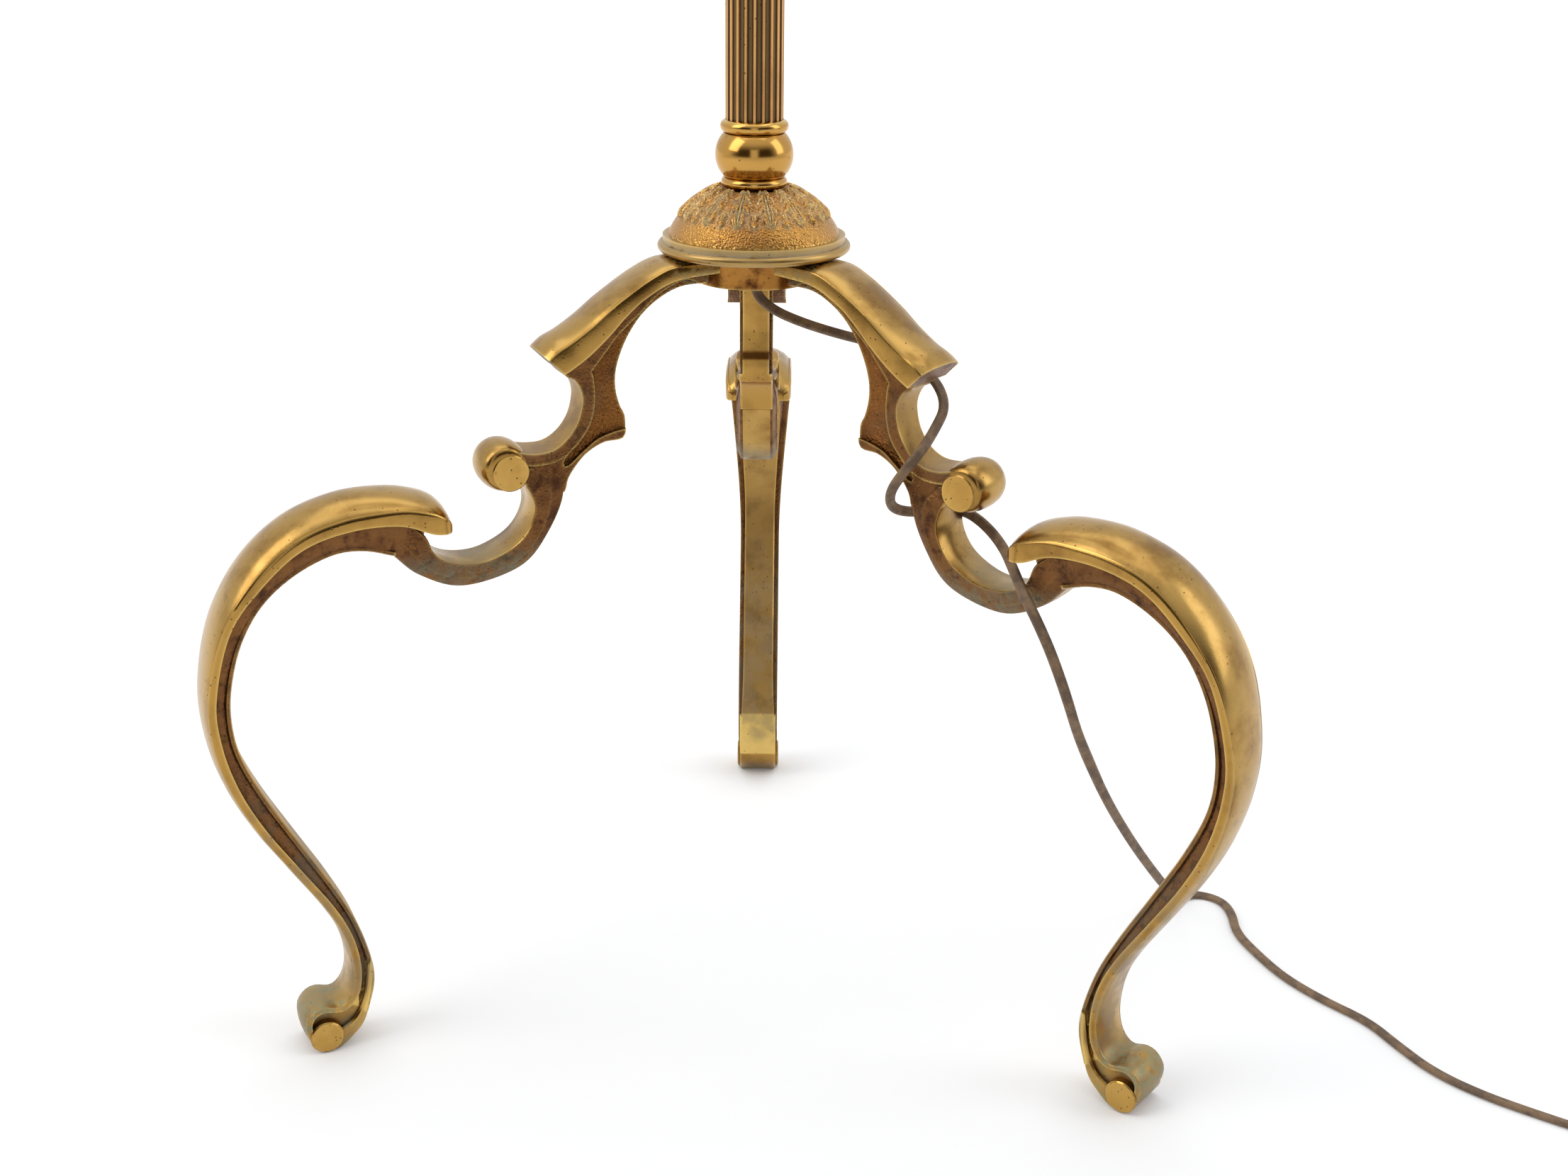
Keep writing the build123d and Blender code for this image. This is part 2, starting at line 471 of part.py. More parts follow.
# ---- lampholder ------------------------------------------------------------------------------------
cap_floor = 3.0
cap = polygon_turned([
    (PIPE_BORE_CUT, CAP_FOOT), (HOLDER_RADIUS * 0.6, CAP_FOOT), (HOLDER_RADIUS, CAP_FOOT + 7),
    (HOLDER_RADIUS, SHELL_FOOT), (HOLDER_RADIUS - HOLDER_WALL, SHELL_FOOT),
    (HOLDER_RADIUS - HOLDER_WALL, CAP_FOOT + 8), (HOLDER_RADIUS * 0.6 - 1, CAP_FOOT + cap_floor),
    (PIPE_BORE_CUT, CAP_FOOT + cap_floor)])
spindle_frame = Pos(0, 0, CAP_FOOT + SPINDLE_HEIGHT) * Rot(0, 0, SPINDLE_AZIMUTH) * Rot(0, 90, 0)
spindle_base = HOLDER_RADIUS - 4.0
boss = spindle_frame * Pos(0, 0, HOLDER_RADIUS) * Cylinder(4.6, 4.4)
boss -= Pos(0, 0, CAP_FOOT + SPINDLE_HEIGHT) * Cylinder(HOLDER_RADIUS - HOLDER_WALL, 3 * SPINDLE_HEIGHT)
cap += boss
solids["holder_cap"] = cap - spindle_frame * Pos(0, 0, HOLDER_RADIUS) * Cylinder(
    SPINDLE_RADIUS + SPINDLE_CLEARANCE, 12)
spindle_length = SPINDLE_REACH + 4.0
solids["switch_spindle"] = spindle_frame * Pos(0, 0, spindle_base + spindle_length / 2) * Cylinder(
    SPINDLE_RADIUS, spindle_length)
key_start = spindle_base + spindle_length - KEY_DEPTH + 3
key = extrude(SlotOverall(KEY_LENGTH, KEY_LENGTH * 0.5), KEY_THICKNESS / 2, both=True)
key = Pos(0, 0, key_start + KEY_DEPTH / 2) * Rot(90, 0, 0) * key
key += Pos(0, 0, key_start + 1.5) * Cylinder(SPINDLE_RADIUS + 1.5, 6)
key -= Pos(0, 0, key_start) * Cylinder(SPINDLE_RADIUS, 2 * (spindle_base + spindle_length - key_start))
solids["switch_key"] = spindle_frame * key

solids["holder_shell"] = tube(HOLDER_RADIUS, HOLDER_RADIUS - 2 * HOLDER_WALL, SHELL_FOOT, SHELL_LENGTH)
insert = tube(INSERT_RADIUS, 3.0, INSERT_FOOT, INSERT_BASE)
insert += tube(INSERT_RADIUS, SOCKET_RADIUS + SOCKET_WALL, SOCKET_FOOT, SOCKET_DEPTH)
solids["holder_insert"] = insert
solids["holder_screw_shell"] = tube(SOCKET_RADIUS + SOCKET_WALL - 0.02, SOCKET_RADIUS, SOCKET_FOOT,
                                    SOCKET_DEPTH)
solids["holder_contacts"] = Pos(0, 0, INSERT_FOOT + INSERT_BASE / 2 + 0.5) * Cylinder(2.9, INSERT_BASE + 1)
nut_foot = CARRIER_Z + CARRIER_THICKNESS
solids["shade_nut"] = tube(SHADE_NUT_RADIUS, HOLDER_RADIUS + 0.05, nut_foot, SHADE_NUT_HEIGHT)
collar_height = 3.0
solids["holder_collar"] = tube(SHADE_NUT_RADIUS - 1.5, HOLDER_RADIUS + 0.05, CARRIER_Z - collar_height,
                               collar_height)

# ---- bulb ------------------------------------------------------------------------------------------
solids["bulb_cap"] = Pos(0, 0, BULB_FOOT + BULB_CAP_LENGTH / 2) * Cylinder(BULB_CAP_RADIUS,
                                                                        BULB_CAP_LENGTH)
glass_foot = BULB_FOOT + BULB_CAP_LENGTH
globe_z = glass_foot + BULB_LENGTH - BULB_RADIUS
glass_outline = [(BULB_NECK_RADIUS - 1.6, glass_foot), (BULB_NECK_RADIUS, glass_foot + 9),
                 (BULB_NECK_RADIUS + 5, glass_foot + 22), (BULB_RADIUS - 3.4, globe_z - 16),
                 (BULB_RADIUS, globe_z)]


def glass_blank(inset):
    """Solid of the bulb's envelope, set in by a wall."""
    side = [(radius - inset, height) for radius, height in glass_outline]
    top = globe_z + BULB_RADIUS - inset
    shoulder = (BULB_RADIUS - inset) * cos(pi / 4)
    return turned(Line((0, glass_foot), side[0]), Spline(*side),
                  ThreePointArc(side[-1], (shoulder, globe_z + shoulder), (0, top)),
                  Line((0, top), (0, glass_foot)))


solids["bulb_glass"] = glass_blank(0) - glass_blank(BULB_WALL)
stem_height = 26.0
filament = Pos(0, 0, glass_foot + stem_height / 2) * Cylinder(3.2, stem_height)
for side in (-1, 1):
    filament += wire_between((side * 2, 0, glass_foot + stem_height - 3),
                             (side * 11, 0, glass_foot + stem_height + 16), FILAMENT_RADIUS * 2)
filament += wire_between((-11, 0, glass_foot + stem_height + 15.6), (11, 0, glass_foot + stem_height + 15.6),
                         FILAMENT_RADIUS * 2)
solids["bulb_filament"] = filament

# ---- shade -----------------------------------------------------------------------------------------
shade_slope = (SHADE_BOTTOM_RADIUS - SHADE_TOP_RADIUS) / SHADE_HEIGHT


def shade_radius(height):
    """Outside radius of the cloth at a height above the lower hoop."""
    return SHADE_BOTTOM_RADIUS - shade_slope * height


def cloth_band(low, high, outer_gap, thickness):
    """Conical band that lies outside the cloth's outer face by outer_gap."""
    return polygon_turned([(shade_radius(low) + outer_gap, SHADE_FOOT + low),
                           (shade_radius(low) + outer_gap - thickness, SHADE_FOOT + low),
                           (shade_radius(high) + outer_gap - thickness, SHADE_FOOT + high),
                           (shade_radius(high) + outer_gap, SHADE_FOOT + high)])


solids["shade_cover"] = cloth_band(0, SHADE_HEIGHT, 0, SHADE_CLOTH)
solids["shade_trim_bottom"] = cloth_band(0, TRIM_HEIGHT, TRIM_THICKNESS + 0.05, TRIM_THICKNESS)
solids["shade_trim_top"] = cloth_band(SHADE_HEIGHT - TRIM_HEIGHT, SHADE_HEIGHT, TRIM_THICKNESS + 0.05,
                                      TRIM_THICKNESS)
hoop_inset = SHADE_CLOTH + HOOP_GAP + SHADE_WIRE / 2
low_hoop = shade_radius(SHADE_WIRE) - hoop_inset
high_hoop = shade_radius(SHADE_HEIGHT - SHADE_WIRE) - hoop_inset
low_z, high_z = SHADE_FOOT + SHADE_WIRE, SHADE_FOOT + SHADE_HEIGHT - SHADE_WIRE
hoop_low = Pos(0, 0, low_z) * Torus(low_hoop, SHADE_WIRE / 2)
hoop_high = Pos(0, 0, high_z) * Torus(high_hoop, SHADE_WIRE / 2)
solids["shade_hoop_low"] = hoop_low
solids["shade_hoop_high"] = hoop_high
ribs = []
for rib in range(SHADE_RIBS):
    angle = 2 * pi * (rib + 0.5) / SHADE_RIBS
    wire = wire_between((low_hoop * cos(angle), low_hoop * sin(angle), low_z),
                        (high_hoop * cos(angle), high_hoop * sin(angle), high_z), SHADE_WIRE)
    ribs.append((wire - hoop_low - hoop_high).solids().sort_by(SortBy.VOLUME)[-1])
solids["shade_ribs"] = Compound(children=ribs)
carrier = tube(SHADE_NUT_RADIUS + 2.5, HOLDER_RADIUS + 0.3, CARRIER_Z, CARRIER_THICKNESS)
carrier_middle = CARRIER_Z + CARRIER_THICKNESS / 2
spoke_start = SHADE_NUT_RADIUS + 1.0
for spoke in range(SHADE_SPOKES):
    angle = 2 * pi * spoke / SHADE_SPOKES
    carrier += wire_between((spoke_start * cos(angle), spoke_start * sin(angle), carrier_middle),
                            (low_hoop * cos(angle), low_hoop * sin(angle), low_z), SHADE_WIRE)
solids["shade_carrier"] = (carrier - hoop_low - solids["shade_nut"] - solids["holder_collar"]).solids(
    ).sort_by(SortBy.VOLUME)[-1]

# ---- flex ------------------------------------------------------------------------------------------
right = radians(LEG_AZIMUTHS["right"])


def beside_right_leg(point):
    """World point from (r, sideways, z) at the right leg."""
    r, aside, z = point
    return (r * cos(right) - aside * sin(right), r * sin(right) + aside * cos(right), z)


lead_route = [(0, 0, CORD_EXIT), *LEAD_FROM_HUB, *[beside_right_leg(point) for point in LEAD_ROUND_LEG],
              *LEAD_TO_FLOOR]
coil_x, coil_y = COIL_CENTRE


def coil_point(azimuth):
    """Point on the middle of the coil's outer, lowest turn."""
    outer_turn = COIL_RADIUS + COIL_WALL / 2 - CORD_DIAMETER / 2
    angle = radians(azimuth)
    return (coil_x + outer_turn * cos(angle), coil_y + outer_turn * sin(angle), CORD_DIAMETER / 2 + 0.1)


lead_route.append(coil_point(COIL_ENTRY))
solids["cord_lead"] = turned_tube_along(lead_route, CORD_DIAMETER, "cord_lead")
solids["cord_coil"] = Pos(coil_x, coil_y, 0) * tube(COIL_RADIUS + COIL_WALL / 2, COIL_RADIUS - COIL_WALL / 2,
                                                    0.05, COIL_HEIGHT)
plug_start = Vector(*TAIL_ROUTE[-1])
plug_way = plug_start - Vector(*TAIL_ROUTE[-2])
solids["cord_tail"] = turned_tube_along([coil_point(COIL_LEAVE), *TAIL_ROUTE], CORD_DIAMETER, "cord_tail")
plug_plane = Plane(origin=plug_start, z_dir=plug_way)
neck = Pos(0, 0, PLUG_NECK_LENGTH / 2) * Cone(CORD_DIAMETER / 2 + 0.6, PLUG_NECK_RADIUS, PLUG_NECK_LENGTH)
body = Pos(0, 0, PLUG_NECK_LENGTH + PLUG_LENGTH / 2) * Cylinder(PLUG_RADIUS, PLUG_LENGTH)
shoulder = Pos(0, 0, PLUG_NECK_LENGTH) * Cone(PLUG_NECK_RADIUS, PLUG_RADIUS, 6, align=(
    Align.CENTER, Align.CENTER, Align.MAX))
plug = neck + shoulder + body
plug_screw_z = PLUG_NECK_LENGTH + PLUG_LENGTH
screw_hole = Pos(0, 0, plug_screw_z) * Cylinder(PLUG_SCREW_RADIUS, 10)
solids["plug_body"] = plug_plane * (plug - screw_hole)
solids["plug_screw"] = plug_plane * Pos(0, 0, plug_screw_z - 2.9) * Cylinder(PLUG_SCREW_RADIUS - 0.1, 4)
pins = [Pos(side * PIN_SPACING / 2, 0, plug_screw_z + PIN_LENGTH / 2) * Cylinder(PIN_RADIUS, PIN_LENGTH)
        for side in (-1, 1)]
solids["plug_pins"] = Compound(children=[plug_plane * pin for pin in pins])

for node, solid in solids.items():
    export_step(solid, f"parts/{node}.step")
print(len(solids), "nodes")
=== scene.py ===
"""Tripod floor lamp: the looks of its pieces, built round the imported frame.

Metres, +Z up, origin on the floor on the column's axis. A leg is drawn in its own upright plane in
millimetres, r outward from the axis and z above the floor, with the width across the plane as s.
"""
import logging
from dataclasses import dataclass, field
from enum import Enum, IntEnum
from math import cos, floor, hypot, pi, radians, sin, sqrt
from typing import Callable, Sequence

import bmesh
import bpy
from mathutils import Matrix, Vector


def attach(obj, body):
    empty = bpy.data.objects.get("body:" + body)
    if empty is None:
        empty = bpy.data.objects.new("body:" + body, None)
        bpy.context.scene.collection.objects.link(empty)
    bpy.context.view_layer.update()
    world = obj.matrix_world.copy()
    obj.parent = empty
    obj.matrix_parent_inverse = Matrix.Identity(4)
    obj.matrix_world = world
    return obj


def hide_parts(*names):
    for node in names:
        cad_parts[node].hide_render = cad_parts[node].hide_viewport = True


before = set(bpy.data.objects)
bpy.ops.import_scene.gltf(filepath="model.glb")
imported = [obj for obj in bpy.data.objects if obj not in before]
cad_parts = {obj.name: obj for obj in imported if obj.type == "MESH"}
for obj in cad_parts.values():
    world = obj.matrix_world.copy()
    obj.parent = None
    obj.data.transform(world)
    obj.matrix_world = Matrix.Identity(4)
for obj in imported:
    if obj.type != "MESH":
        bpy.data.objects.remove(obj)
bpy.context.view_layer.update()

MM = 0.001
TAU = 2 * pi
LAMP = "lamp"
Point = tuple[float, float]
Colour = tuple[float, float, float]

EDGE_SAMPLES = 4
HAZE: Colour = (128, 116, 92)
VERDIGRIS: Colour = (128, 142, 112)
PIT: Colour = (58, 40, 24)
# Dark colour for painted shade and grime in the crevices of the non-metal finishes.
CREVICE_SHADE_AND_GRIME: Colour = (46, 34, 24)
PATINA_FINENESS = 2.3       # patina's clouds against the tarnish's
CREVICE_HOLD = 0.85         # how much of the crevices' painted shade and patina shows
HAZE_COVER, VERDIGRIS_COVER, PIT_COVER = 0.8, 0.75, 0.75
MATT_COVER, MATT_ROUGHNESS = 0.8, 0.3
PIT_DEPTH = 0.8
METAL_RELIEF, MOULDED_RELIEF = 0.0006, 0.0004

log = logging.getLogger("floor_lamp")


def srgb(red: float, green: float, blue: float) -> tuple[float, float, float, float]:
    """Linear colour with alpha from display values of 0 to 255."""
    linear = [(v / 255 / 12.92) if v <= 10.3 else ((v / 255 + 0.055) / 1.055) ** 2.4
              for v in (red, green, blue)]
    return (*linear, 1.0)


def polar(radius: float, angle: float, height: float) -> Vector:
    """Point at a radius and an angle in radians round the vertical axis."""
    return Vector((radius * cos(angle), radius * sin(angle), height))


def linked(name: str, data: bpy.types.ID) -> bpy.types.Object:
    """New object of the data, linked to the scene."""
    made = bpy.data.objects.new(name, data)
    bpy.context.scene.collection.objects.link(made)
    return made


def smoothstep(low: float, high: float, value: float) -> float:
    """0 below low, 1 above high and a smooth rise between them."""
    share = min(1.0, max(0.0, (value - low) / (high - low)))
    return share * share * (3 - 2 * share)


# ---- node trees --------------------
class Socket(Enum):
    """Kinds of node group socket."""

    FLOAT = "NodeSocketFloat"
    INT = "NodeSocketInt"
    VECTOR = "NodeSocketVector"
    GEOMETRY = "NodeSocketGeometry"
    MATERIAL = "NodeSocketMaterial"
    OBJECT = "NodeSocketObject"


class Graph:
    """A node tree written as calls."""

    def __init__(self, tree: bpy.types.NodeTree) -> None:
        """Works on the given tree."""
        self.tree = tree

    def add(self, kind: str, inputs: dict | None = None, **settings) -> bpy.types.Node:
        """Add a node.

        Args:
            kind: the node's type name.
            inputs: values or sockets for its inputs, by name or number.
            settings: the node's own properties.

        Returns:
            The new node.
        """
        node = self.tree.nodes.new(kind)
        for name, value in settings.items():
            setattr(node, name, value)
        for name, value in (inputs or {}).items():
            if isinstance(value, bpy.types.NodeSocket):
                self.tree.links.new(value, node.inputs[name])
            else:
                node.inputs[name].default_value = value
        return node

    def math(self, operation: str, first, second=0.0, clamp: bool = False) -> bpy.types.NodeSocket:
        """Result of a maths operation on two values or sockets."""
        return self.add("ShaderNodeMath", {0: first, 1: second}, operation=operation,
                        use_clamp=clamp).outputs[0]

    def times(self, first, second, clamp: bool = False) -> bpy.types.NodeSocket:
        """Product of two values or sockets."""
        return self.math("MULTIPLY", first, second, clamp)

    def plus(self, first, second, clamp: bool = False) -> bpy.types.NodeSocket:
        """Sum of two values or sockets."""
        return self.math("ADD", first, second, clamp)

    def feed(self, node: bpy.types.Node, sockets: dict[str, bpy.types.NodeSocket]) -> None:
        """Link sockets to a node's named inputs."""
        for label, socket in sockets.items():
            self.tree.links.new(socket, node.inputs[label])

    def ramp(self, value, low: float, high: float, start: float = 0.0,
             end: float = 1.0) -> bpy.types.NodeSocket:
        """Value taken from low…high to start…end, smoothly and held at both ends."""
        return self.add("ShaderNodeMapRange", {"Value": value, "From Min": low, "From Max": high,
                                               "To Min": start, "To Max": end},
                        interpolation_type="SMOOTHSTEP").outputs[0]

    def mix(self, share, first, second) -> bpy.types.NodeSocket:
        """Colour between first and second."""
        return self.add("ShaderNodeMix", {0: share, 6: first, 7: second},
                        data_type="RGBA").outputs[2]

    def noise(self, vector, scale, detail: float = 4.0,
              roughness: float = 0.55) -> bpy.types.NodeSocket:
        """Noise value at a vector."""
        return self.add("ShaderNodeTexNoise", {"Vector": vector, "Scale": scale, "Detail": detail,
                                               "Roughness": roughness}).outputs[0]


class Effect:
    """A shader node group with named inputs and outputs, shared by the finishes."""

    def __init__(self, name: str, inputs: dict[str, tuple[Socket, object]],
                 outputs: dict[str, Socket]) -> None:
        """Make the group's tree and its sockets.

        Args:
            name: the group's name.
            inputs: each input's kind and default value.
            outputs: each output's kind.
        """
        self.tree = bpy.data.node_groups.new(name, "ShaderNodeTree")
        for label, (kind, value) in inputs.items():
            socket = self.tree.interface.new_socket(label, in_out="INPUT", socket_type=kind.value)
            if kind is not Socket.VECTOR:
                socket.default_value = value
        for label, kind in outputs.items():
            self.tree.interface.new_socket(label, in_out="OUTPUT", socket_type=kind.value)
        self.graph = Graph(self.tree)
        self.entry = self.graph.add("NodeGroupInput").outputs
        self.exit = self.graph.add("NodeGroupOutput").inputs

    def give(self, label: str, socket: bpy.types.NodeSocket) -> None:
        """Link a socket to a named output."""
        self.tree.links.new(socket, self.exit[label])

    def use(self, graph: Graph, **inputs) -> bpy.types.bpy_prop_collection:
        """Outputs of a copy of the group placed in a material, with its own input values."""
        node = graph.tree.nodes.new("ShaderNodeGroup")
        node.node_tree = self.tree
        for label, value in inputs.items():
            if isinstance(value, bpy.types.NodeSocket):
                graph.tree.links.new(value, node.inputs[label])
            else:
                node.inputs[label].default_value = value
        return node.outputs


class Effects:
    """The shared effects: worn edges with a crevice mask that the finishes use for painted shade,
    mottling, pits and brushed grain.
    """

    def __init__(self) -> None:
        """Build every group once."""
        self.edges = self._edges()
        self.mottle = self._mottle()
        self.pits = self._pits()
        self.grain = self._grain()

    @staticmethod
    def _edges() -> Effect:
        """Masks of proud edges and of crevices, from how much solid or air lies close by."""
        effect = Effect("worn_edges", {"Reach": (Socket.FLOAT, 0.0016)},
                        {"Edge": Socket.FLOAT, "Crevice": Socket.FLOAT})
        graph = effect.graph
        inner = graph.add("ShaderNodeAmbientOcclusion", {"Distance": effect.entry["Reach"]},
                          inside=True, only_local=True, samples=EDGE_SAMPLES).outputs["AO"]
        outer = graph.add("ShaderNodeAmbientOcclusion",
                          {"Distance": graph.times(effect.entry["Reach"], 3.0)},
                          only_local=True, samples=EDGE_SAMPLES).outputs["AO"]
        effect.give("Edge", graph.ramp(inner, 0.35, 0.9, 1.0, 0.0))
        # Crevice: high where little open air lies close by; the finishes darken by it, painted
        # shade in recesses along with the dirt or patina there.
        effect.give("Crevice", graph.ramp(outer, 0.35, 0.95, 1.0, 0.0))
        return effect

    @staticmethod
    def _mottle() -> Effect:
        """Cloudy mask that covers about the stated share of the surface."""
        effect = Effect("mottling", {"Vector": (Socket.VECTOR, None), "Scale": (Socket.FLOAT, 30.0),
                                     "Coverage": (Socket.FLOAT, 0.5)}, {"Mask": Socket.FLOAT})
        graph = effect.graph
        cloud = graph.noise(effect.entry["Vector"], effect.entry["Scale"], 6.0, 0.62)
        level = graph.plus(graph.math("SUBTRACT", cloud, 0.5),
                           graph.math("SUBTRACT", effect.entry["Coverage"], 0.5))
        effect.give("Mask", graph.ramp(level, -0.12, 0.12))
        return effect

    @staticmethod
    def _pits() -> Effect:
        """Scattered small dark pits."""
        effect = Effect("pits", {"Vector": (Socket.VECTOR, None), "Scale": (Socket.FLOAT, 300.0),
                                 "Amount": (Socket.FLOAT, 0.5)}, {"Mask": Socket.FLOAT})
        graph = effect.graph
        cell = graph.add("ShaderNodeTexVoronoi", {"Vector": effect.entry["Vector"],
                                                  "Scale": effect.entry["Scale"]})
        red = graph.add("ShaderNodeSeparateColor", {0: cell.outputs["Color"]}).outputs[0]
        chosen = graph.math("GREATER_THAN", effect.entry["Amount"], red)
        near = graph.ramp(cell.outputs["Distance"], 0.10, 0.24, 1.0, 0.0)
        effect.give("Mask", graph.times(near, chosen))
        return effect

    @staticmethod
    def _grain() -> Effect:
        """Uneven cast or file-finished surface, as a height."""
        effect = Effect("casting_grain", {"Vector": (Socket.VECTOR, None),
                                          "Fine": (Socket.FLOAT, 900.0),
                                          "Broad": (Socket.FLOAT, 60.0)}, {"Height": Socket.FLOAT})
        graph = effect.graph
        fine = graph.noise(effect.entry["Vector"], effect.entry["Fine"], 3.0)
        broad = graph.noise(effect.entry["Vector"], effect.entry["Broad"], 2.0)
        effect.give("Height", graph.plus(graph.times(fine, 0.35), broad))
        return effect


EFFECTS = Effects()


# ---- finishes --------------------
def new_material(name: str) -> tuple[bpy.types.Material, Graph, bpy.types.Node]:
    """Empty node material.

    Args:
        name: the material's name.

    Returns:
        The material, its graph and its Principled BSDF, already linked to the output.
    """
    material = bpy.data.materials.new(name)
    material.use_nodes = True
    graph = Graph(material.node_tree)
    material.node_tree.nodes.clear()
    shader = graph.add("ShaderNodeBsdfPrincipled")
    graph.add("ShaderNodeOutputMaterial", {0: shader.outputs[0]})
    return material, graph, shader


@dataclass(frozen=True)
class BrassFinish:
    """Aged brass: gold where it is rubbed, brown where it isn't, and darker in its crevices as
    painted shade along with patina.
    """

    name: str
    gold: Colour = (196, 160, 88)
    clouded: Colour = (158, 132, 82)
    patina: Colour = (98, 66, 38)
    bright: Colour = (238, 205, 120)
    dust: Colour = (176, 168, 146)
    patina_share: float = 0.25
    cloud_share: float = 0.45
    edge_wear: float = 0.7
    crevice_shade_and_dirt: float = 0.8
    dust_share: float = 0.0
    pit_share: float = 0.15
    pit_scale: float = 420.0
    roughness: float = 0.24
    patina_roughness: float = 0.5
    stipple: float = 0.0
    stipple_scale: float = 900.0
    bump: float = 0.12
    cloud_scale: float = 26.0
    reach: float = 0.0016
    fluted: tuple[float, float] | None = None

    def material(self) -> bpy.types.Material:
        """Build the finish's material."""
        material, graph, shader = new_material(self.name)
        place = graph.add("ShaderNodeTexCoord").outputs["Object"]
        edges = EFFECTS.edges.use(graph, Reach=self.reach)
        cloud = EFFECTS.mottle.use(graph, Vector=place, Scale=self.cloud_scale,
                                   Coverage=self.cloud_share)[0]
        brown = EFFECTS.mottle.use(graph, Vector=place, Scale=self.cloud_scale * PATINA_FINENESS,
                                   Coverage=self.patina_share)[0]
        pits = EFFECTS.pits.use(graph, Vector=place, Scale=self.pit_scale, Amount=self.pit_share)[0]
        # Painted shade: crevices darkened towards the patina colour, along with the patina that
        # gathers there.
        crevice_shade_and_patina = graph.times(edges["Crevice"], self.crevice_shade_and_dirt * CREVICE_HOLD)
        brown = graph.math("MAXIMUM", brown, crevice_shade_and_patina)
        if self.fluted:
            spot = graph.add("ShaderNodeSeparateXYZ", {0: place}).outputs
            flat = graph.add("ShaderNodeCombineXYZ", {0: spot[0], 1: spot[1]}).outputs[0]
            radius = graph.add("ShaderNodeVectorMath", {0: flat},
                               operation="LENGTH").outputs["Value"]
            sunk = graph.ramp(radius, self.fluted[0], self.fluted[1], 1.0, 0.0)
            brown = graph.math("MAXIMUM", graph.times(brown, 0.6), sunk)
        colour = graph.mix(cloud, srgb(*self.gold), srgb(*self.clouded))
        colour = graph.mix(brown, colour, srgb(*self.patina))
        worn = graph.times(edges["Edge"], self.edge_wear)
        colour = graph.mix(worn, colour, srgb(*self.bright))
        dull = graph.add("ShaderNodeAttribute", attribute_name="dull").outputs["Fac"]
        green = graph.add("ShaderNodeAttribute", attribute_name="green").outputs["Fac"]
        speckle = graph.ramp(graph.noise(place, 320.0, 5.0, 0.7), 0.42, 0.6)
        haze = graph.times(dull, graph.ramp(graph.noise(place, 70.0, 5.0), 0.36, 0.6))
        colour = graph.mix(graph.times(haze, HAZE_COVER), colour, srgb(*HAZE))
        verdigris = graph.times(green, speckle)
        colour = graph.mix(graph.times(verdigris, VERDIGRIS_COVER), colour, srgb(*VERDIGRIS))
        dusty = 0.0
        if self.dust_share:
            dusty = EFFECTS.mottle.use(graph, Vector=place, Scale=140.0,
                                       Coverage=self.dust_share)[0]
            settling = graph.plus(graph.times(edges["Crevice"], 1.2), 0.05)
            dusty = graph.times(dusty, settling, clamp=True)
        colour = graph.mix(dusty, colour, srgb(*self.dust))
        colour = graph.mix(graph.times(pits, PIT_COVER), colour, srgb(*PIT))
        rough = graph.plus(graph.times(brown, self.patina_roughness - self.roughness),
                           self.roughness)
        rough = graph.plus(rough, graph.times(graph.noise(place, 180.0, 5.0), 0.08))
        matt = graph.math("MAXIMUM", graph.math("MAXIMUM", dusty, verdigris), haze)
        rough = graph.plus(rough, graph.times(matt, MATT_ROUGHNESS), clamp=True)
        metal = graph.math("SUBTRACT", 1.0, graph.times(matt, MATT_COVER))
        height = EFFECTS.grain.use(graph, Vector=place)[0]
        if self.stipple:
            punched = graph.add("ShaderNodeTexVoronoi",
                                {"Vector": place, "Scale": self.stipple_scale},
                                feature="SMOOTH_F1").outputs["Distance"]
            height = graph.plus(height, graph.times(punched, self.stipple))
        height = graph.math("SUBTRACT", height, graph.times(pits, PIT_DEPTH))
        bump = graph.add("ShaderNodeBump", {"Height": height, "Strength": self.bump,
                                            "Distance": METAL_RELIEF}).outputs[0]
        graph.feed(shader, {"Base Color": colour, "Roughness": rough, "Metallic": metal,
                            "Normal": bump})
        return material


@dataclass(frozen=True)
class MouldedFinish:
    """Moulded, woven or fired surface that isn't metal."""

    name: str
    colour: Colour
    second: Colour
    worn: Colour
    roughness: float = 0.45
    scale: float = 60.0
    bump: float = 0.15
    fine: float = 700.0
    edge_wear: float = 0.4
    crevice_shade_and_dirt: float = 0.4
    coat: float = 0.0

    def material(self) -> bpy.types.Material:
        """Build the finish's material."""
        material, graph, shader = new_material(self.name)
        place = graph.add("ShaderNodeTexCoord").outputs["Object"]
        edges = EFFECTS.edges.use(graph, Reach=0.0016)
        cloud = EFFECTS.mottle.use(graph, Vector=place, Scale=self.scale, Coverage=0.5)[0]
        colour = graph.mix(cloud, srgb(*self.colour), srgb(*self.second))
        colour = graph.mix(graph.times(edges["Edge"], self.edge_wear), colour,
                           srgb(*self.worn))
        # Painted shade: crevices darkened towards a dark colour, along with the grime that settles
        # there.
        colour = graph.mix(graph.times(edges["Crevice"], self.crevice_shade_and_dirt), colour,
                           srgb(*CREVICE_SHADE_AND_GRIME))
        rough = graph.plus(self.roughness,
                           graph.times(graph.noise(place, self.scale * 3, 5.0), 0.15))
        height = EFFECTS.grain.use(graph, Vector=place, Fine=self.fine, Broad=self.scale)[0]
        bump = graph.add("ShaderNodeBump", {"Height": height, "Strength": self.bump,
                                            "Distance": MOULDED_RELIEF}).outputs[0]
        shader.inputs["Coat Weight"].default_value = self.coat
        graph.feed(shader, {"Base Color": colour, "Roughness": rough, "Normal": bump})
        return material


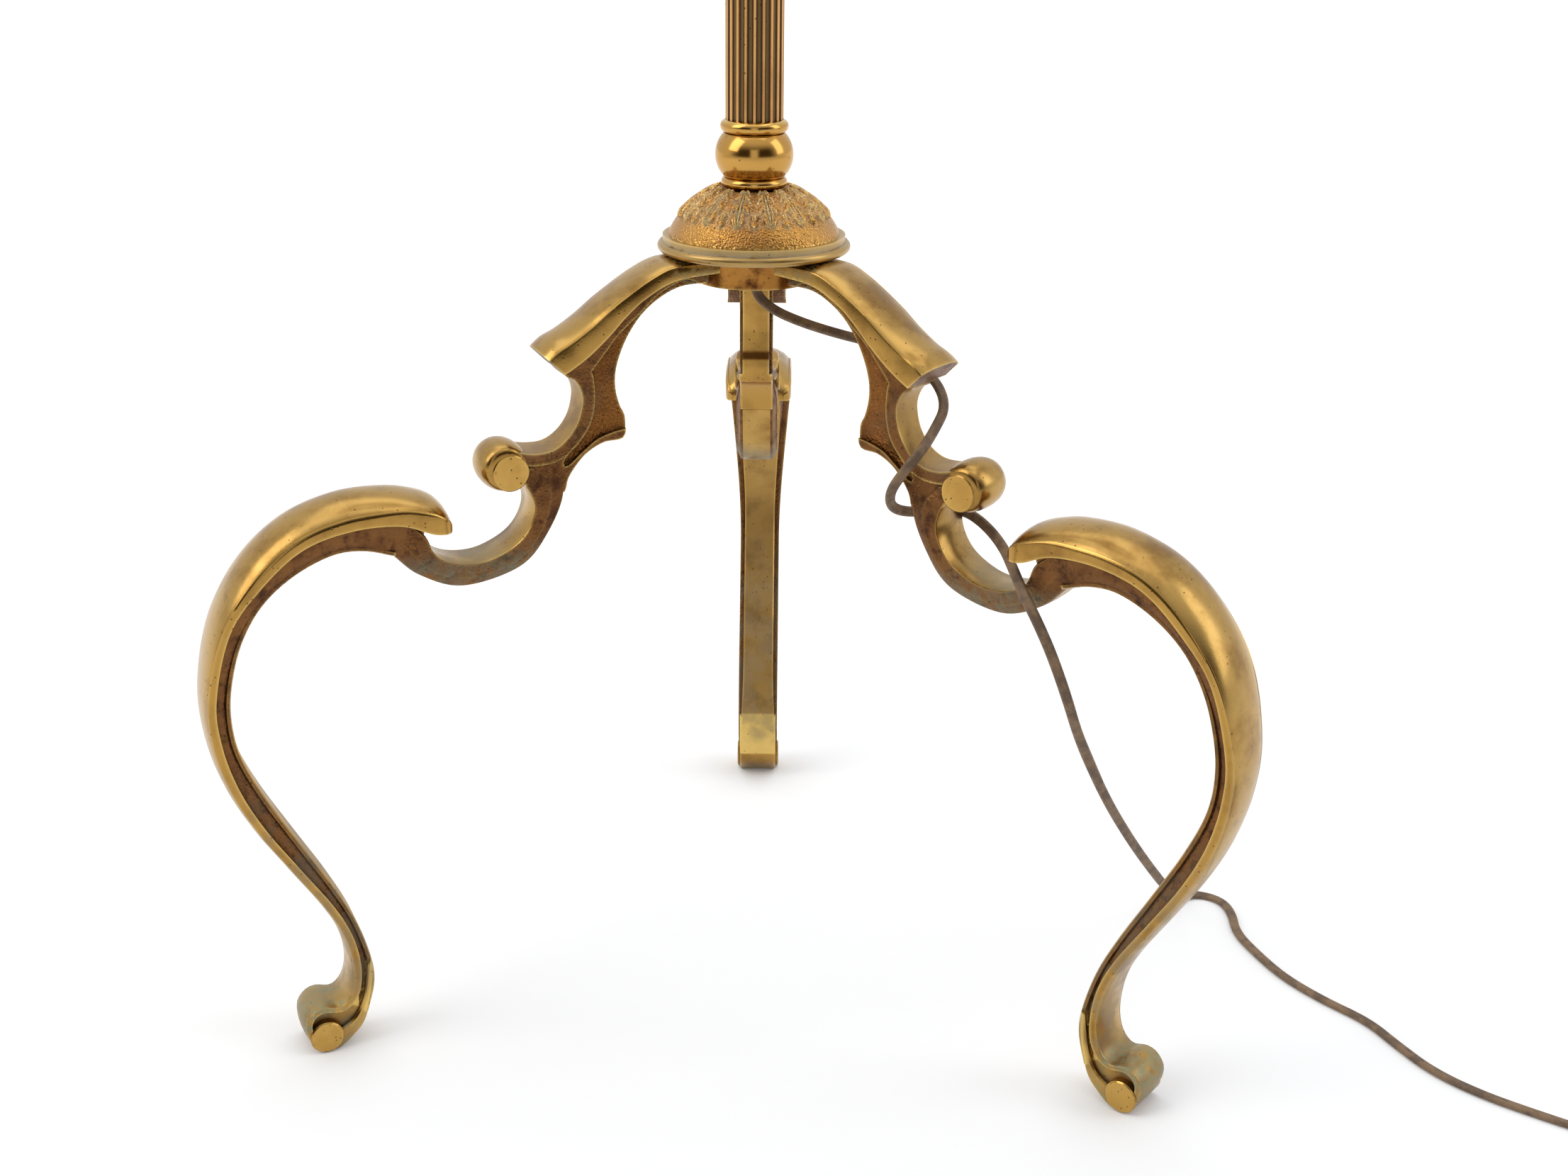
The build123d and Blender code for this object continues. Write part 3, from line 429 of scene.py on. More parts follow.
# ---- shapes --------------------
def trace(points: Sequence, count: int) -> list[Vector]:
    """Smooth line through points.

    Args:
        points: the points it passes through, in two or three dimensions.
        count: how many points to return, at equal steps along it.

    Returns:
        The line's points.
    """
    knots = [Vector(point) for point in points]
    knots = [knots[0] * 2 - knots[1], *knots, knots[-1] * 2 - knots[-2]]
    fine_steps = 12
    fine = []
    for before, start, end, after in zip(knots, knots[1:], knots[2:], knots[3:]):
        for step in range(fine_steps):
            t = step / fine_steps
            fine.append(0.5 * (2 * start + (end - before) * t
                               + (2 * before - 5 * start + 4 * end - after) * t * t
                               + (3 * start - before - 3 * end + after) * t ** 3))
    fine.append(knots[-2])
    runs = [0.0]
    for start, end in zip(fine, fine[1:]):
        runs.append(runs[-1] + (end - start).length)
    line, place = [], 0
    for step in range(count):
        wanted = runs[-1] * step / (count - 1)
        while place < len(runs) - 2 and runs[place + 1] < wanted:
            place += 1
        span = max(1e-9, runs[place + 1] - runs[place])
        line.append(fine[place].lerp(fine[place + 1], min(1.0, (wanted - runs[place]) / span)))
    return line


def beneath(points: Sequence, count: int,
            depth: Callable[[float], float]) -> list[tuple[Vector, Vector]]:
    """Pairs of points: one on a traced line, one to the right of it by a depth that may change."""
    line = trace(points, count)
    pairs = []
    for place, point in enumerate(line):
        way = (line[min(place + 1, count - 1)] - line[max(place - 1, 0)]).normalized()
        pairs.append((point, point + Vector((way.y, -way.x)) * depth(place / (count - 1))))
    return pairs


def closed(points: Sequence, count: int) -> list[Vector]:
    """Smooth closed outline through points, its start not repeated."""
    return trace([*points, points[0]], count)[:-1]


def inset(outline: Sequence[Vector], amount: float) -> list[Vector]:
    """Closed outline moved towards its inside."""
    area = sum(a.x * b.y - b.x * a.y for a, b in zip(outline, [*outline[1:], outline[0]]))
    turn = 1 if area > 0 else -1
    moved = []
    for place, point in enumerate(outline):
        way = (outline[(place + 1) % len(outline)] - outline[place - 1]).normalized()
        moved.append(point + Vector((-way.y, way.x)) * amount * turn)
    return moved


class Solid:
    """Closed mesh gathered piece by piece, in millimetres."""

    def __init__(self) -> None:
        """Starts empty."""
        self.verts: list[Vector] = []
        self.faces: list[tuple[int, ...]] = []
        self.marks: list[int] = []

    def rings(self, rings: Sequence[Sequence[Vector]], marks: Sequence[int] | None = None,
              joined: bool = False, end_mark: int = 0) -> "Solid":
        """Skin over closed rings of equal length.

        Args:
            rings: the rings, one after another.
            marks: material number of each strip between neighbouring ring points.
            joined: whether the last ring joins the first; if not, both ends are capped.
            end_mark: material number of the caps.

        Returns:
            This solid.
        """
        base, around = len(self.verts), len(rings[0])
        for ring in rings:
            self.verts.extend(Vector(point) for point in ring)
        for row in range(len(rings) if joined else len(rings) - 1):
            near = base + row * around
            far = base + (row + 1) % len(rings) * around
            for place in range(around):
                after = (place + 1) % around
                self.faces.append((near + place, near + after, far + after, far + place))
                self.marks.append(marks[place] if marks else 0)
        if not joined:
            last = base + (len(rings) - 1) * around
            self.faces.append(tuple(reversed(range(base, base + around))))
            self.faces.append(tuple(range(last, last + around)))
            self.marks.extend((end_mark, end_mark))
        return self

    def lathe(self, profile: Sequence[Point], steps: int) -> "Solid":
        """Closed profile of (radius, height) turned about the vertical axis."""
        return self.rings([[polar(r, TAU * k / steps, z) for r, z in profile]
                           for k in range(steps)], joined=True)

    def plate(self, outline: Sequence[Vector], half: float, side: int, flat: int,
              chamfer: float = 0.6) -> "Solid":
        """Plate across the leg's plane with chamfered edges.

        Args:
            outline: its outline in the plane.
            half: half its width.
            side: material number of the narrow sides.
            flat: material number of the flat faces.
            chamfer: size of the edge.

        Returns:
            This solid.
        """
        shrunk = inset(outline, chamfer)
        rings = [[Vector((p.x, s, p.y)) for p in line] for line, s in (
            (shrunk, -half), (outline, chamfer - half), (outline, half - chamfer), (shrunk, half))]
        return self.rings(rings, [side] * len(outline), end_mark=flat)

    def stroke(self, pairs: Sequence[tuple[Vector, Vector]], width: Callable[[float], float],
               section: Callable[[float], list[tuple[float, float, int]]],
               end_mark: int = 0) -> "Solid":
        """Band across the leg's plane.

        Args:
            pairs: upper and lower point of each station.
            width: half its width by share of its length.
            section: points of (side, height, material number) by share, as fractions.
            end_mark: material number of its ends.

        Returns:
            This solid.
        """
        rings = []
        for place, (top, foot) in enumerate(pairs):
            share = place / (len(pairs) - 1)
            rings.append([Vector((foot.x + (top.x - foot.x) * up, width(share) * aside,
                                  foot.y + (top.y - foot.y) * up))
                          for aside, up, _ in section(share)])
        return self.rings(rings, [mark for _, _, mark in section(0)], end_mark=end_mark)

    def spool(self, centre: Point, profile: Sequence[tuple[float, float]], steps: int = 40,
              marks: Sequence[int] | None = None) -> "Solid":
        """Profile of (sideways, radius) turned about an axis across the leg's plane."""
        rings = [[Vector((centre[0] + radius * cos(TAU * k / steps), aside,
                          centre[1] + radius * sin(TAU * k / steps))) for aside, radius in profile]
                 for k in range(steps)]
        return self.rings(rings, marks, joined=True)

    def build(self, name: str, materials: Sequence[bpy.types.Material], sharp: float = 34.0,
              matrix: Matrix | None = None) -> bpy.types.Object:
        """Make the mesh object.

        Args:
            name: its name.
            materials: its materials in order of their numbers.
            sharp: angle in degrees above which an edge is shaded sharp.
            matrix: where it goes, in metres.

        Returns:
            The object, at the origin.
        """
        mesh = bpy.data.meshes.new(name)
        matrix = matrix or Matrix.Identity(4)
        mesh.from_pydata([matrix @ (vert * MM) for vert in self.verts], [], self.faces)
        mesh.polygons.foreach_set("material_index", self.marks)
        build = bmesh.new()
        build.from_mesh(mesh)
        bmesh.ops.remove_doubles(build, verts=build.verts, dist=1e-6)
        bmesh.ops.recalc_face_normals(build, faces=build.faces)
        build.to_mesh(mesh)
        build.free()
        return piece_of(name, mesh, materials, sharp)


def piece_of(name: str, mesh: bpy.types.Mesh, materials: Sequence[bpy.types.Material],
          sharp: float = 34.0) -> bpy.types.Object:
    """Object of a mesh at the origin, smooth but for its sharp edges."""
    marks = [polygon.material_index for polygon in mesh.polygons]
    mesh.materials.clear()
    for material in materials:
        mesh.materials.append(material)
    mesh.polygons.foreach_set("material_index", marks)
    mesh.shade_smooth()
    mesh.set_sharp_from_angle(angle=radians(sharp))
    return linked(name, mesh)


def settled(piece: bpy.types.Object) -> bpy.types.Mesh:
    """Mesh of an object with its modifiers applied; the object itself goes."""
    graph = bpy.context.evaluated_depsgraph_get()
    mesh = bpy.data.meshes.new_from_object(piece.evaluated_get(graph), depsgraph=graph)
    bpy.data.objects.remove(piece)
    return mesh


def combined(parts: Sequence[bpy.types.Object],
             cuts: Sequence[bpy.types.Object] = ()) -> bpy.types.Mesh:
    """Union of the parts less the cuts, as one mesh with the parts' material numbers."""
    first = parts[0]
    for tool, operation in [*((part, "UNION") for part in parts[1:]),
                            *((cut, "DIFFERENCE") for cut in cuts)]:
        change = first.modifiers.new(tool.name, "BOOLEAN")
        change.operation, change.solver, change.object = operation, "EXACT", tool
    mesh = settled(first)
    for tool in [*parts[1:], *cuts]:
        bpy.data.objects.remove(tool)
    return mesh


# ---- view --------------------
@dataclass
class Studio:
    """Camera, floor and light."""

    lens: float = 47.6
    stand: tuple[float, float, float] = (0.0, -1.0173, 0.5929)
    down: float = 20.39
    yaw: float = 0.93
    roll: float = 0.57
    floor_half: float = 30.0
    lights: tuple = (
        ("window_left", (-2.2, -0.9, 2.2), (0, 0, 0.4), (1.6, 2.2), 26, (255, 252, 246)),
        ("window_right", (2.4, -0.3, 1.6), (0, 0, 0.3), (1.2, 2.0), 12, (246, 250, 255)),
        ("top", (0, 0.4, 3.4), (0, 0, 0), (3.0, 3.0), 26))

    def camera(self) -> None:
        """Place the camera at the viewing angle."""
        down, yaw, roll = radians(self.down), radians(self.yaw), radians(self.roll)
        forward = Vector((sin(yaw) * cos(down), cos(yaw) * cos(down), -sin(down)))
        right = Vector((cos(yaw), -sin(yaw), 0.0))
        up = right.cross(forward)
        across = right * cos(roll) + up * sin(roll)
        upward = up * cos(roll) - right * sin(roll)
        data = bpy.data.cameras.new("camera")
        data.lens, data.sensor_width, data.sensor_fit = self.lens, 36.0, "HORIZONTAL"
        data.clip_start, data.clip_end = 0.02, 200.0
        camera = linked("camera", data)
        camera.matrix_world = Matrix.Translation(self.stand) @ Matrix(
            (across, upward, -forward)).transposed().to_4x4()
        bpy.context.scene.camera = camera

    def floor(self) -> None:
        """Pale plain floor, with painted light: it glows faintly near the camera and more towards
        the back.
        """
        material, graph, shader = new_material("floor_paper")
        spot = graph.add("ShaderNodeTexCoord").outputs["Object"]
        tone = graph.mix(graph.noise(spot, 1.5, 2.0), srgb(244, 244, 244), srgb(241, 242, 243))
        graph.feed(shader, {"Base Color": tone})
        shader.inputs["Roughness"].default_value = 0.85
        # Painted light: the floor glows, the more the farther back it lies.
        away = graph.add("ShaderNodeSeparateXYZ", {0: spot}).outputs[1]
        near_glow, far_glow = (0.045, 0.047, 0.05, 1), (0.42, 0.42, 0.42, 1)
        glow = graph.mix(graph.ramp(away, -0.6, 3.5), near_glow, far_glow)
        graph.feed(shader, {"Emission Color": glow})
        shader.inputs["Emission Strength"].default_value = 1.0
        shader.inputs["Specular IOR Level"].default_value = 0.2
        half = self.floor_half
        mesh = bpy.data.meshes.new("floor")
        mesh.from_pydata([(-half, -half, 0), (half, -half, 0), (half, half, 0), (-half, half, 0)],
                         [], [(0, 1, 2, 3)])
        mesh.materials.append(material)
        piece = linked("floor", mesh)

    @staticmethod
    def light(name: str, stand: tuple, aim: tuple, size: tuple[float, float], power: float,
              tint: Colour = (255, 255, 255)) -> None:
        """Soft rectangular light.

        Args:
            name: its name.
            stand: where it is.
            aim: what it points at.
            size: its width and height.
            power: in watts.
            tint: its colour.
        """
        data = bpy.data.lights.new(name, "AREA")
        data.shape, data.size, data.size_y = "RECTANGLE", *size
        data.energy, data.color = power, srgb(*tint)[:3]
        lamp = linked(name, data)
        lamp.location = stand
        lamp.rotation_euler = (Vector(aim) - Vector(stand)).to_track_quat("-Z", "Y").to_euler()

    def world(self) -> None:
        """Pale surroundings, darker behind the camera."""
        world = bpy.data.worlds.new("studio")
        world.use_nodes = True
        bpy.context.scene.world = world
        graph = Graph(world.node_tree)
        world.node_tree.nodes.clear()
        way = graph.add("ShaderNodeTexCoord").outputs["Generated"]
        parts = graph.add("ShaderNodeSeparateXYZ", {0: way}).outputs
        behind = graph.ramp(parts[1], -0.7, -0.1, 1.0, 0.0)
        low = graph.ramp(parts[2], 0.35, 0.85, 1.0, 0.0)
        aside = graph.ramp(graph.math("ABSOLUTE", parts[0]), 0.10, 0.26)
        above = graph.ramp(parts[2], 0.40, 0.52)
        dark = graph.times(graph.times(behind, low),
                          graph.math("MAXIMUM", aside, above))
        seen = graph.add("ShaderNodeLightPath").outputs["Is Camera Ray"]
        dark = graph.times(dark, graph.math("SUBTRACT", 1.0, seen))
        tone = graph.mix(dark, srgb(252, 253, 255), srgb(70, 58, 46))
        back = graph.add("ShaderNodeBackground", {0: tone, 1: 0.9})
        graph.add("ShaderNodeOutputWorld", {0: back.outputs[0]})

    def build(self) -> None:
        """Set the whole view up."""
        self.camera()
        self.floor()
        self.world()
        for light in self.lights:
            self.light(*light)
        bpy.context.scene.view_settings.view_transform = "Standard"


# ---- flex --------------------
@dataclass
class Flex:
    """Flat twin flex: from the hub, round the right leg, along the floor, a coil and the plug."""

    width: float = 5.2
    thick: float = 2.7
    leg_azimuth: float = 322.0
    coil_centre: Point = (426.6, -228.0)
    outer_turn: float = 34.1
    turn_step: float = 5.45
    layers: tuple[float, float] = (1.5, 4.4)
    turn_points: int = 16
    coil_entry: float = 58.0
    coil_leave: float = 20.0
    from_hub: tuple = (
        (0, 0, 382.4), (0, 0, 371.5), (9.5, -4, 363.5), (24, -9.5, 358.5), (41, -17.5, 355))
    round_leg: tuple = (
        (63, 16, 352.5), (82, 17.5, 348), (98, 17.5, 339.5), (107.5, 13, 329), (107, 4, 319),
        (108.5, -8, 312.5), (104, -17, 302.5), (96.5, -17.5, 291), (92.5, -10, 280.5),
        (93.5, 4.5, 274.5), (102.5, 15.5, 275), (117, 17.5, 277.5), (133, 12, 274.5),
        (149, 2.5, 269.5), (162, -9.5, 264.5), (173, -18.5, 258), (183.5, -21, 246),
        (191, -19, 230.5))
    to_floor: tuple = (
        (146.5, -134, 210), (154, -121, 188), (163, -103, 166), (179, -76, 129.5),
        (201, -40, 87), (223, -3, 48), (236, 24, 25), (244, 40, 11), (250, 54, 3.4),
        (263, 60, 1.5), (275, 52.5, 1.5), (278, 37, 1.5), (275.5, 15, 1.5), (282, -8, 1.5),
        (291, -33, 1.5), (307, -57, 1.5), (325, -77, 1.5), (334, -100, 1.5), (345, -124, 1.5),
        (363, -144, 1.5), (384, -160, 1.5), (404, -174, 1.5), (424, -184.5, 1.5))
    tail: tuple = (
        (464.5, -236, 1.5), (477, -251, 2.4), (494, -256, 6.5), (508, -248, 12),
        (515, -232, 17.05), (517, -215, 17.05))

    def coil(self) -> list[tuple[float, float, float]]:
        """Points of the coil: inward on the floor, up, outward again and over to the tail."""
        laps = (0, 1, 2, 2, 1, 0)
        end = self.coil_leave - 360 * 6
        span = self.coil_entry - end
        total = round(6 * self.turn_points * span / 2160)
        points = []
        for step in range(total + 1):
            angle = self.coil_entry - span * step / total
            turns = (self.coil_entry - angle) / 360
            lap = min(5, floor(turns))
            blend = smoothstep(0.75, 1.0, turns - lap)
            nxt = min(5, lap + 1)
            inward = laps[lap] + (laps[nxt] - laps[lap]) * blend
            level = 0 if lap < 3 else 1
            rise = level + (blend if lap == 2 else 0)
            if turns > 5.8:
                rise, inward = 1 - smoothstep(5.8, 6.1, turns), -1.05 * smoothstep(5.6, 6.0, turns)
            radius = self.outer_turn - self.turn_step * inward
            height = self.layers[0] + (self.layers[1] - self.layers[0]) * rise
            points.append((self.coil_centre[0] + radius * cos(radians(angle)),
                           self.coil_centre[1] + radius * sin(radians(angle)), height))
        return points

    def route(self) -> list[Vector]:
        """Every point of the flex's line, in metres."""
        turn = radians(self.leg_azimuth)
        beside = [(r * cos(turn) - s * sin(turn), r * sin(turn) + s * cos(turn), z)
                  for r, s, z in self.round_leg]
        points = [*self.from_hub, *beside, *self.to_floor, *self.coil(), *self.tail]
        return [Vector(point) * MM for point in points]

    def line(self) -> list[Vector]:
        """Points read from the spline through the route."""
        data = bpy.data.curves.new("flex_line", "CURVE")
        data.dimensions, data.resolution_u = "3D", 6
        spline = data.splines.new("NURBS")
        route = self.route()
        spline.points.add(len(route) - 1)
        for point, spot in zip(spline.points, route):
            point.co = (*spot, 1.0)
        spline.order_u = 3
        spline.use_endpoint_u = True
        holder = linked("flex_line", data)
        bpy.context.view_layer.update()
        mesh = bpy.data.meshes.new_from_object(holder)
        points = [vert.co.copy() for vert in mesh.vertices]
        bpy.data.objects.remove(holder)
        bpy.data.meshes.remove(mesh)
        return points

    def section(self) -> list[Point]:
        """Figure-of-eight cross-section, (across, up) in metres."""
        lobe, centre = self.thick / 2, (self.width - self.thick) / 2
        around = 7
        right = [(centre + lobe * cos(a), lobe * sin(a))
                 for a in (radians(-118 + 236 * k / (around - 1)) for k in range(around))]
        left = [(-x, -y) for x, y in right]
        return [(x * MM, y * MM) for x, y in [*right, *left]]

    @staticmethod
    def facing(run: float) -> Vector:
        """Way the flat side faces, by distance from the hub in metres."""
        level = smoothstep(0.58, 0.72, run)
        forward = Vector((0.45 * sin(run * 13), -1.0, 0.45 + 0.35 * sin(run * 17 + 0.6)))
        return forward.lerp(Vector((0, 0, 1)), level)

    def build(self, finish: bpy.types.Material) -> bpy.types.Object:
        """Make the flex and return it."""
        line = self.line()
        section = self.section()
        ways = [(line[min(k + 1, len(line) - 1)] - line[max(k - 1, 0)]).normalized()
                for k in range(len(line))]
        rings, run = [], 0.0
        for k, spot in enumerate(line):
            run += (spot - line[k - 1]).length if k else 0.0
            facing = self.facing(run)
            lift = (facing - ways[k] * facing.dot(ways[k])).normalized()
            side = ways[k].cross(lift)
            rings.append([(spot + side * x + lift * y) / MM for x, y in section])
        piece = Solid().rings(rings).build("flex", [finish], sharp=180)
        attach(piece, LAMP)
        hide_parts("cord_lead", "cord_coil", "cord_tail")
        log.info("flex: %.3f m along its line", run)
        return piece


# ---- legs --------------------
class Mark(IntEnum):
    """Material numbers on a leg."""

    SATIN = 0
    EDGE = 1
    FLANK = 2
    PANEL = 3
    DULL = 4
    DISC = 5


FLANK, EDGE, SATIN, DULL = Mark.FLANK, Mark.EDGE, Mark.SATIN, Mark.DULL
THROAT_SECTION = [(-1, 1, FLANK), (-0.93, 0.5, FLANK), (-1, 0, DULL), (-0.6, -0.06, DULL),
                  (0, -0.08, DULL), (0.6, -0.06, DULL), (1, 0, FLANK), (0.93, 0.5, FLANK),
                  (1, 1, FLANK), (0, 1, FLANK)]
SCROLL_SECTION = [(-1, 0.97, FLANK), (-1, 0.4, FLANK), (-0.94, 0.36, FLANK), (-0.92, 0.29, FLANK),
                  (-0.8, 0.03, FLANK), (-0.66, 0, SATIN), (0, -0.02, SATIN), (0.66, 0, FLANK),
                  (0.8, 0.03, FLANK), (0.92, 0.29, FLANK), (0.94, 0.36, FLANK), (1, 0.4, FLANK),
                  (1, 0.97, EDGE), (0.95, 1, SATIN), (0, 1.01, SATIN), (-0.95, 1, EDGE)]
CORE_SECTION = [(-1, 1, FLANK), (-0.95, 0.4, FLANK), (-0.84, 0.1, FLANK), (-0.74, 0, FLANK),
                (0.74, 0, FLANK), (0.84, 0.1, FLANK), (0.95, 0.4, FLANK), (1, 1, FLANK)]
RIM_SECTION = [(-1, 0.2, FLANK), (-0.93, 0, DULL), (0.93, 0, FLANK), (1, 0.2, FLANK),
               (1, 0.8, EDGE), (0.93, 1, DULL), (-0.93, 1, EDGE), (-1, 0.8, FLANK)]
BARREL_PROFILE = [(-12.2, 0), (-12.2, 8.6), (-11.6, 9.9), (-10.2, 10.9), (-7.5, 11.8), (-3.5, 12.4),
                  (0, 12.5), (3.5, 12.4), (7.5, 11.8), (10.2, 10.9), (11.6, 9.9), (12.2, 8.6),
                  (12.2, 0)]


def disc(centre: Point, face: Point, edge: Point) -> "Solid":
    """Round boss across the leg's plane, between the faces' and the edges' (sideways, radius)."""
    return Solid().spool(
        centre, [(-face[0], 0), (-face[0], face[1]), (-edge[0], edge[1]), edge, face, (face[0], 0)],
        marks=[Mark.DISC, EDGE, EDGE, EDGE, Mark.DISC, Mark.DISC])


def crowned(crown: float, side: Mark = EDGE) -> list[tuple[float, float, int]]:
    """Cross-section with a level underside, upright edge bands, a bead along each edge and a crown.

    Args:
        crown: share of its height taken by the crown.
        side: mark of the edge bands.

    Returns:
        Points of (side, height, mark).
    """
    drops = ((1, 1.0), (0.985, 0.84), (0.955, 0.76), (0.925, 0.80), (0.88, 0.68), (0.76, 0.44),
             (0.56, 0.21), (0.3, 0.06), (0.0, 0.0))
    right = [(aside, 1 - crown * drop, EDGE if aside > 0.9 else SATIN)
             for aside, drop in drops]
    left = [(-aside, up, EDGE if aside > 0.93 else SATIN) for aside, up, _ in right[-2::-1]]
    left[-1] = (left[-1][0], left[-1][1], side)
    return [(-1.0, 0.0, FLANK), (0.0, 0.0, FLANK), (1.0, 0.0, side), *right, *left]


@dataclass
class LegShape:
    """One cast leg in its plane: a scroll under the hub and a long knee down to a rolled foot."""

    azimuths: dict[str, float] = field(default_factory=lambda: {
        "leg_left": 203.0, "leg_right": 322.0, "leg_back": 89.0})
    tongue_crown: tuple = (
        (24, 392.8), (47, 392.6), (59, 388.2), (70.5, 381.6), (82, 374.6), (91.5, 367.6),
        (102, 361.2), (109.5, 357.6), (114.4, 353.2))
    tongue_under: tuple = (
        (24, 386), (47, 383.6), (62.6, 376.2), (72.4, 368.4), (80.8, 360), (89.9, 352),
        (96.8, 347.2), (104.2, 343))
    web: tuple = (
        (24, 390.5), (48, 388.4), (70, 375.5), (90, 358), (100, 350.5), (102.5, 341.5),
        (97.1, 338), (93.8, 331.6), (93.7, 324.8), (96.3, 316.3), (102, 308.9), (109.5, 304.4),
        (119, 301), (122, 294), (118, 286), (104.9, 281.6), (101.4, 289.3), (96.9, 295.7),
        (91.1, 301.3), (82.7, 305.4), (72.5, 306.9), (71.4, 317.1), (73.9, 322.8), (75.9, 331.2),
        (75.7, 340), (72.7, 349.8), (67.7, 359.4), (60.6, 368.2), (51.5, 374.9), (41, 379.2),
        (24, 381.2))
    panel: tuple = (
        (88.5, 341.5), (81, 350.5), (74.3, 358.4), (63, 368.1), (52, 377.5), (38, 382.5),
        (30, 374), (52, 360), (64, 343), (66, 325), (62, 311.4), (73.1, 311.1), (85.1, 307.9),
        (92.9, 302.6), (102.1, 295.3), (103.4, 298.9), (93.4, 309.5), (89, 317.3), (87.1, 327.3),
        (87.5, 337.5))
    throat: tuple = (
        (104.5, 345), (102.5, 341.5), (97.1, 338), (93.8, 331.6), (93.7, 324.8), (96.3, 316.3),
        (102, 308.9), (109.5, 304.4), (119, 304), (128, 306))
    scroll_inner: tuple = (
        (131, 297), (124.5, 290), (120, 276), (127.1, 261.9), (143.4, 253.4), (159.1, 253.4),
        (169.8, 259.2), (175, 270), (186, 279))
    scroll_outer: tuple = (
        (112, 296), (104, 283.5), (112.6, 263.1), (127.6, 247), (156.6, 240.9), (178.1, 249.4),
        (192.6, 263), (206, 270))
    cover: tuple = (
        (161.9, 276.4, 161.9, 271.8), (164.4, 282.4, 165.2, 271.3), (172, 287.9, 172.5, 272.6),
        (189.5, 292.3, 188, 278.6), (213.5, 292, 211, 279), (239.5, 282.8, 234, 272.8),
        (261.5, 263.8, 253.6, 257.4), (277, 236, 270, 236), (284.3, 203.6, 278.6, 203),
        (283.4, 177, 277.8, 178.5), (276.8, 152, 271.6, 154), (265.5, 128, 261.0, 130.8),
        (250.6, 103.8, 246.2, 106.5), (235, 78.6, 230.3, 80.9), (227.2, 60.6, 222.2, 61.8),
        (224.6, 43.6, 219.5, 43.6), (226.6, 31.4, 221.8, 29.4), (232, 25.4, 229.4, 21.9),
        (239.2, 27, 239.2, 22.8), (245.6, 25, 243.2, 21.6), (250.2, 18.4, 246.1, 17.8),
        (249.7, 10.6, 245.8, 11.6), (246.2, 4.2, 242.9, 6.6), (241.6, 0.3, 239.6, 3.6))
    calf_back: tuple = (
        (217.2, 18.3), (213, 34), (213.8, 48.5), (219.9, 70.2), (230.2, 92.4), (244.3, 118.2),
        (259.4, 146.6), (269.3, 171), (271.9, 192), (269.6, 211), (263.6, 229.6), (253.1, 245.8),
        (237.5, 258.2), (219.1, 265.8), (204.1, 265.9), (190, 261.5))
    flank: tuple = (
        (174, 275, 176, 266), (190, 278.5, 190, 261.5), (204, 280, 204.1, 265.9),
        (221, 278, 219.1, 265.8), (243, 267.5, 237.5, 258.2), (261, 249.5, 253.1, 245.8),
        (270.5, 233.5, 263.6, 229.6), (277, 213, 269.6, 211), (279, 192, 271.9, 192),
        (275.5, 169, 269.3, 171), (266.5, 142, 259.4, 146.6), (251, 114, 244.3, 118.2),
        (235.7, 89.5, 230.2, 92.4), (225, 68.2, 219.9, 70.2), (219.8, 48, 213.8, 48.5),
        (220.5, 35, 213, 34), (225, 23, 217.2, 18.3))
    heel: tuple = (
        (240, 0.2), (233.2, 0.1), (225.4, 6), (219.5, 13), (215.4, 26), (213.6, 38),
        (213.9, 47.5), (215.6, 46), (217, 38), (219, 27), (223.5, 17), (231, 11.5), (240, 8.5))
    hollow: tuple = (
        (221, 50), (222.5, 33), (227.5, 24), (238, 23.5), (246.2, 18.5), (246.4, 9), (240, 2),
        (228, 7), (221, 16))
    knuckle: Point = (131.5, 296.0)
    barrel: Point = (133.2, 298.0)
    eye: Point = (239.2, 8.9)
    web_half: float = 9.0
    tongue_half: float = 15.5
    scroll_half: float = 11.7
    knee_half: float = 19.5
    calf_half: float = 12.5
    knee_core: float = 15.2
    calf_core: float = 9.4
    rim_half: float = 9.6
    panel_depth: float = 1.9
    heel_half: float = 11.6
    hollow_half: float = 9.2
    foot_chamfer: float = 0.8
    knuckle_face: Point = (12.7, 8.6)
    knuckle_edge: Point = (12.3, 9.1)
    eye_face: Point = (13.4, 7.8)
    eye_edge: Point = (12.8, 8.5)
    throat_dirt: Point = (97, 322)
    nose_dirt: Point = (116, 310)

    def cover_width(self, share: float) -> float:
        """Half width of the knee cover and the calf by share of its length."""
        tip = 0.74 + 0.26 * sqrt(max(0.0, 1 - (1 - min(1.0, share / 0.04)) ** 2))
        wide = self.knee_half + (self.calf_half - self.knee_half) * smoothstep(0.24, 0.56, share)
        return wide * tip

    def cover_pairs(self, count: int) -> list[tuple[Vector, Vector]]:
        """Upper and lower points of the knee cover and the calf."""
        return [(Vector(knot[:2]), Vector(knot[2:])) for knot in trace(self.cover, count)]

    def core_pairs(self, count: int) -> list[tuple[Vector, Vector]]:
        """Upper and lower points of the flank between the cover and the rim."""
        knots = []
        for knot in self.flank:
            top, foot = Vector(knot[:2]), Vector(knot[2:])
            way = (top - foot).normalized()
            knots.append((*(top + way * 1.6), *(foot + way)))
        return [(Vector(knot[:2]), Vector(knot[2:])) for knot in trace(knots, count)]

    def core_width(self, share: float) -> float:
        """Half width of the flank by share of its length."""
        wide = self.knee_core + (self.calf_core - self.knee_core) * smoothstep(0.25, 0.55, share)
        return wide - 4.0 * smoothstep(0.08, 0.0, share)

    def rim_width(self, share: float) -> float:
        """Half width of the thin rim by share of its length, from the heel up."""
        return (self.rim_half + 1.9 * smoothstep(0.2, 0.0, share)
                + 3.0 * smoothstep(0.5, 0.75, share))

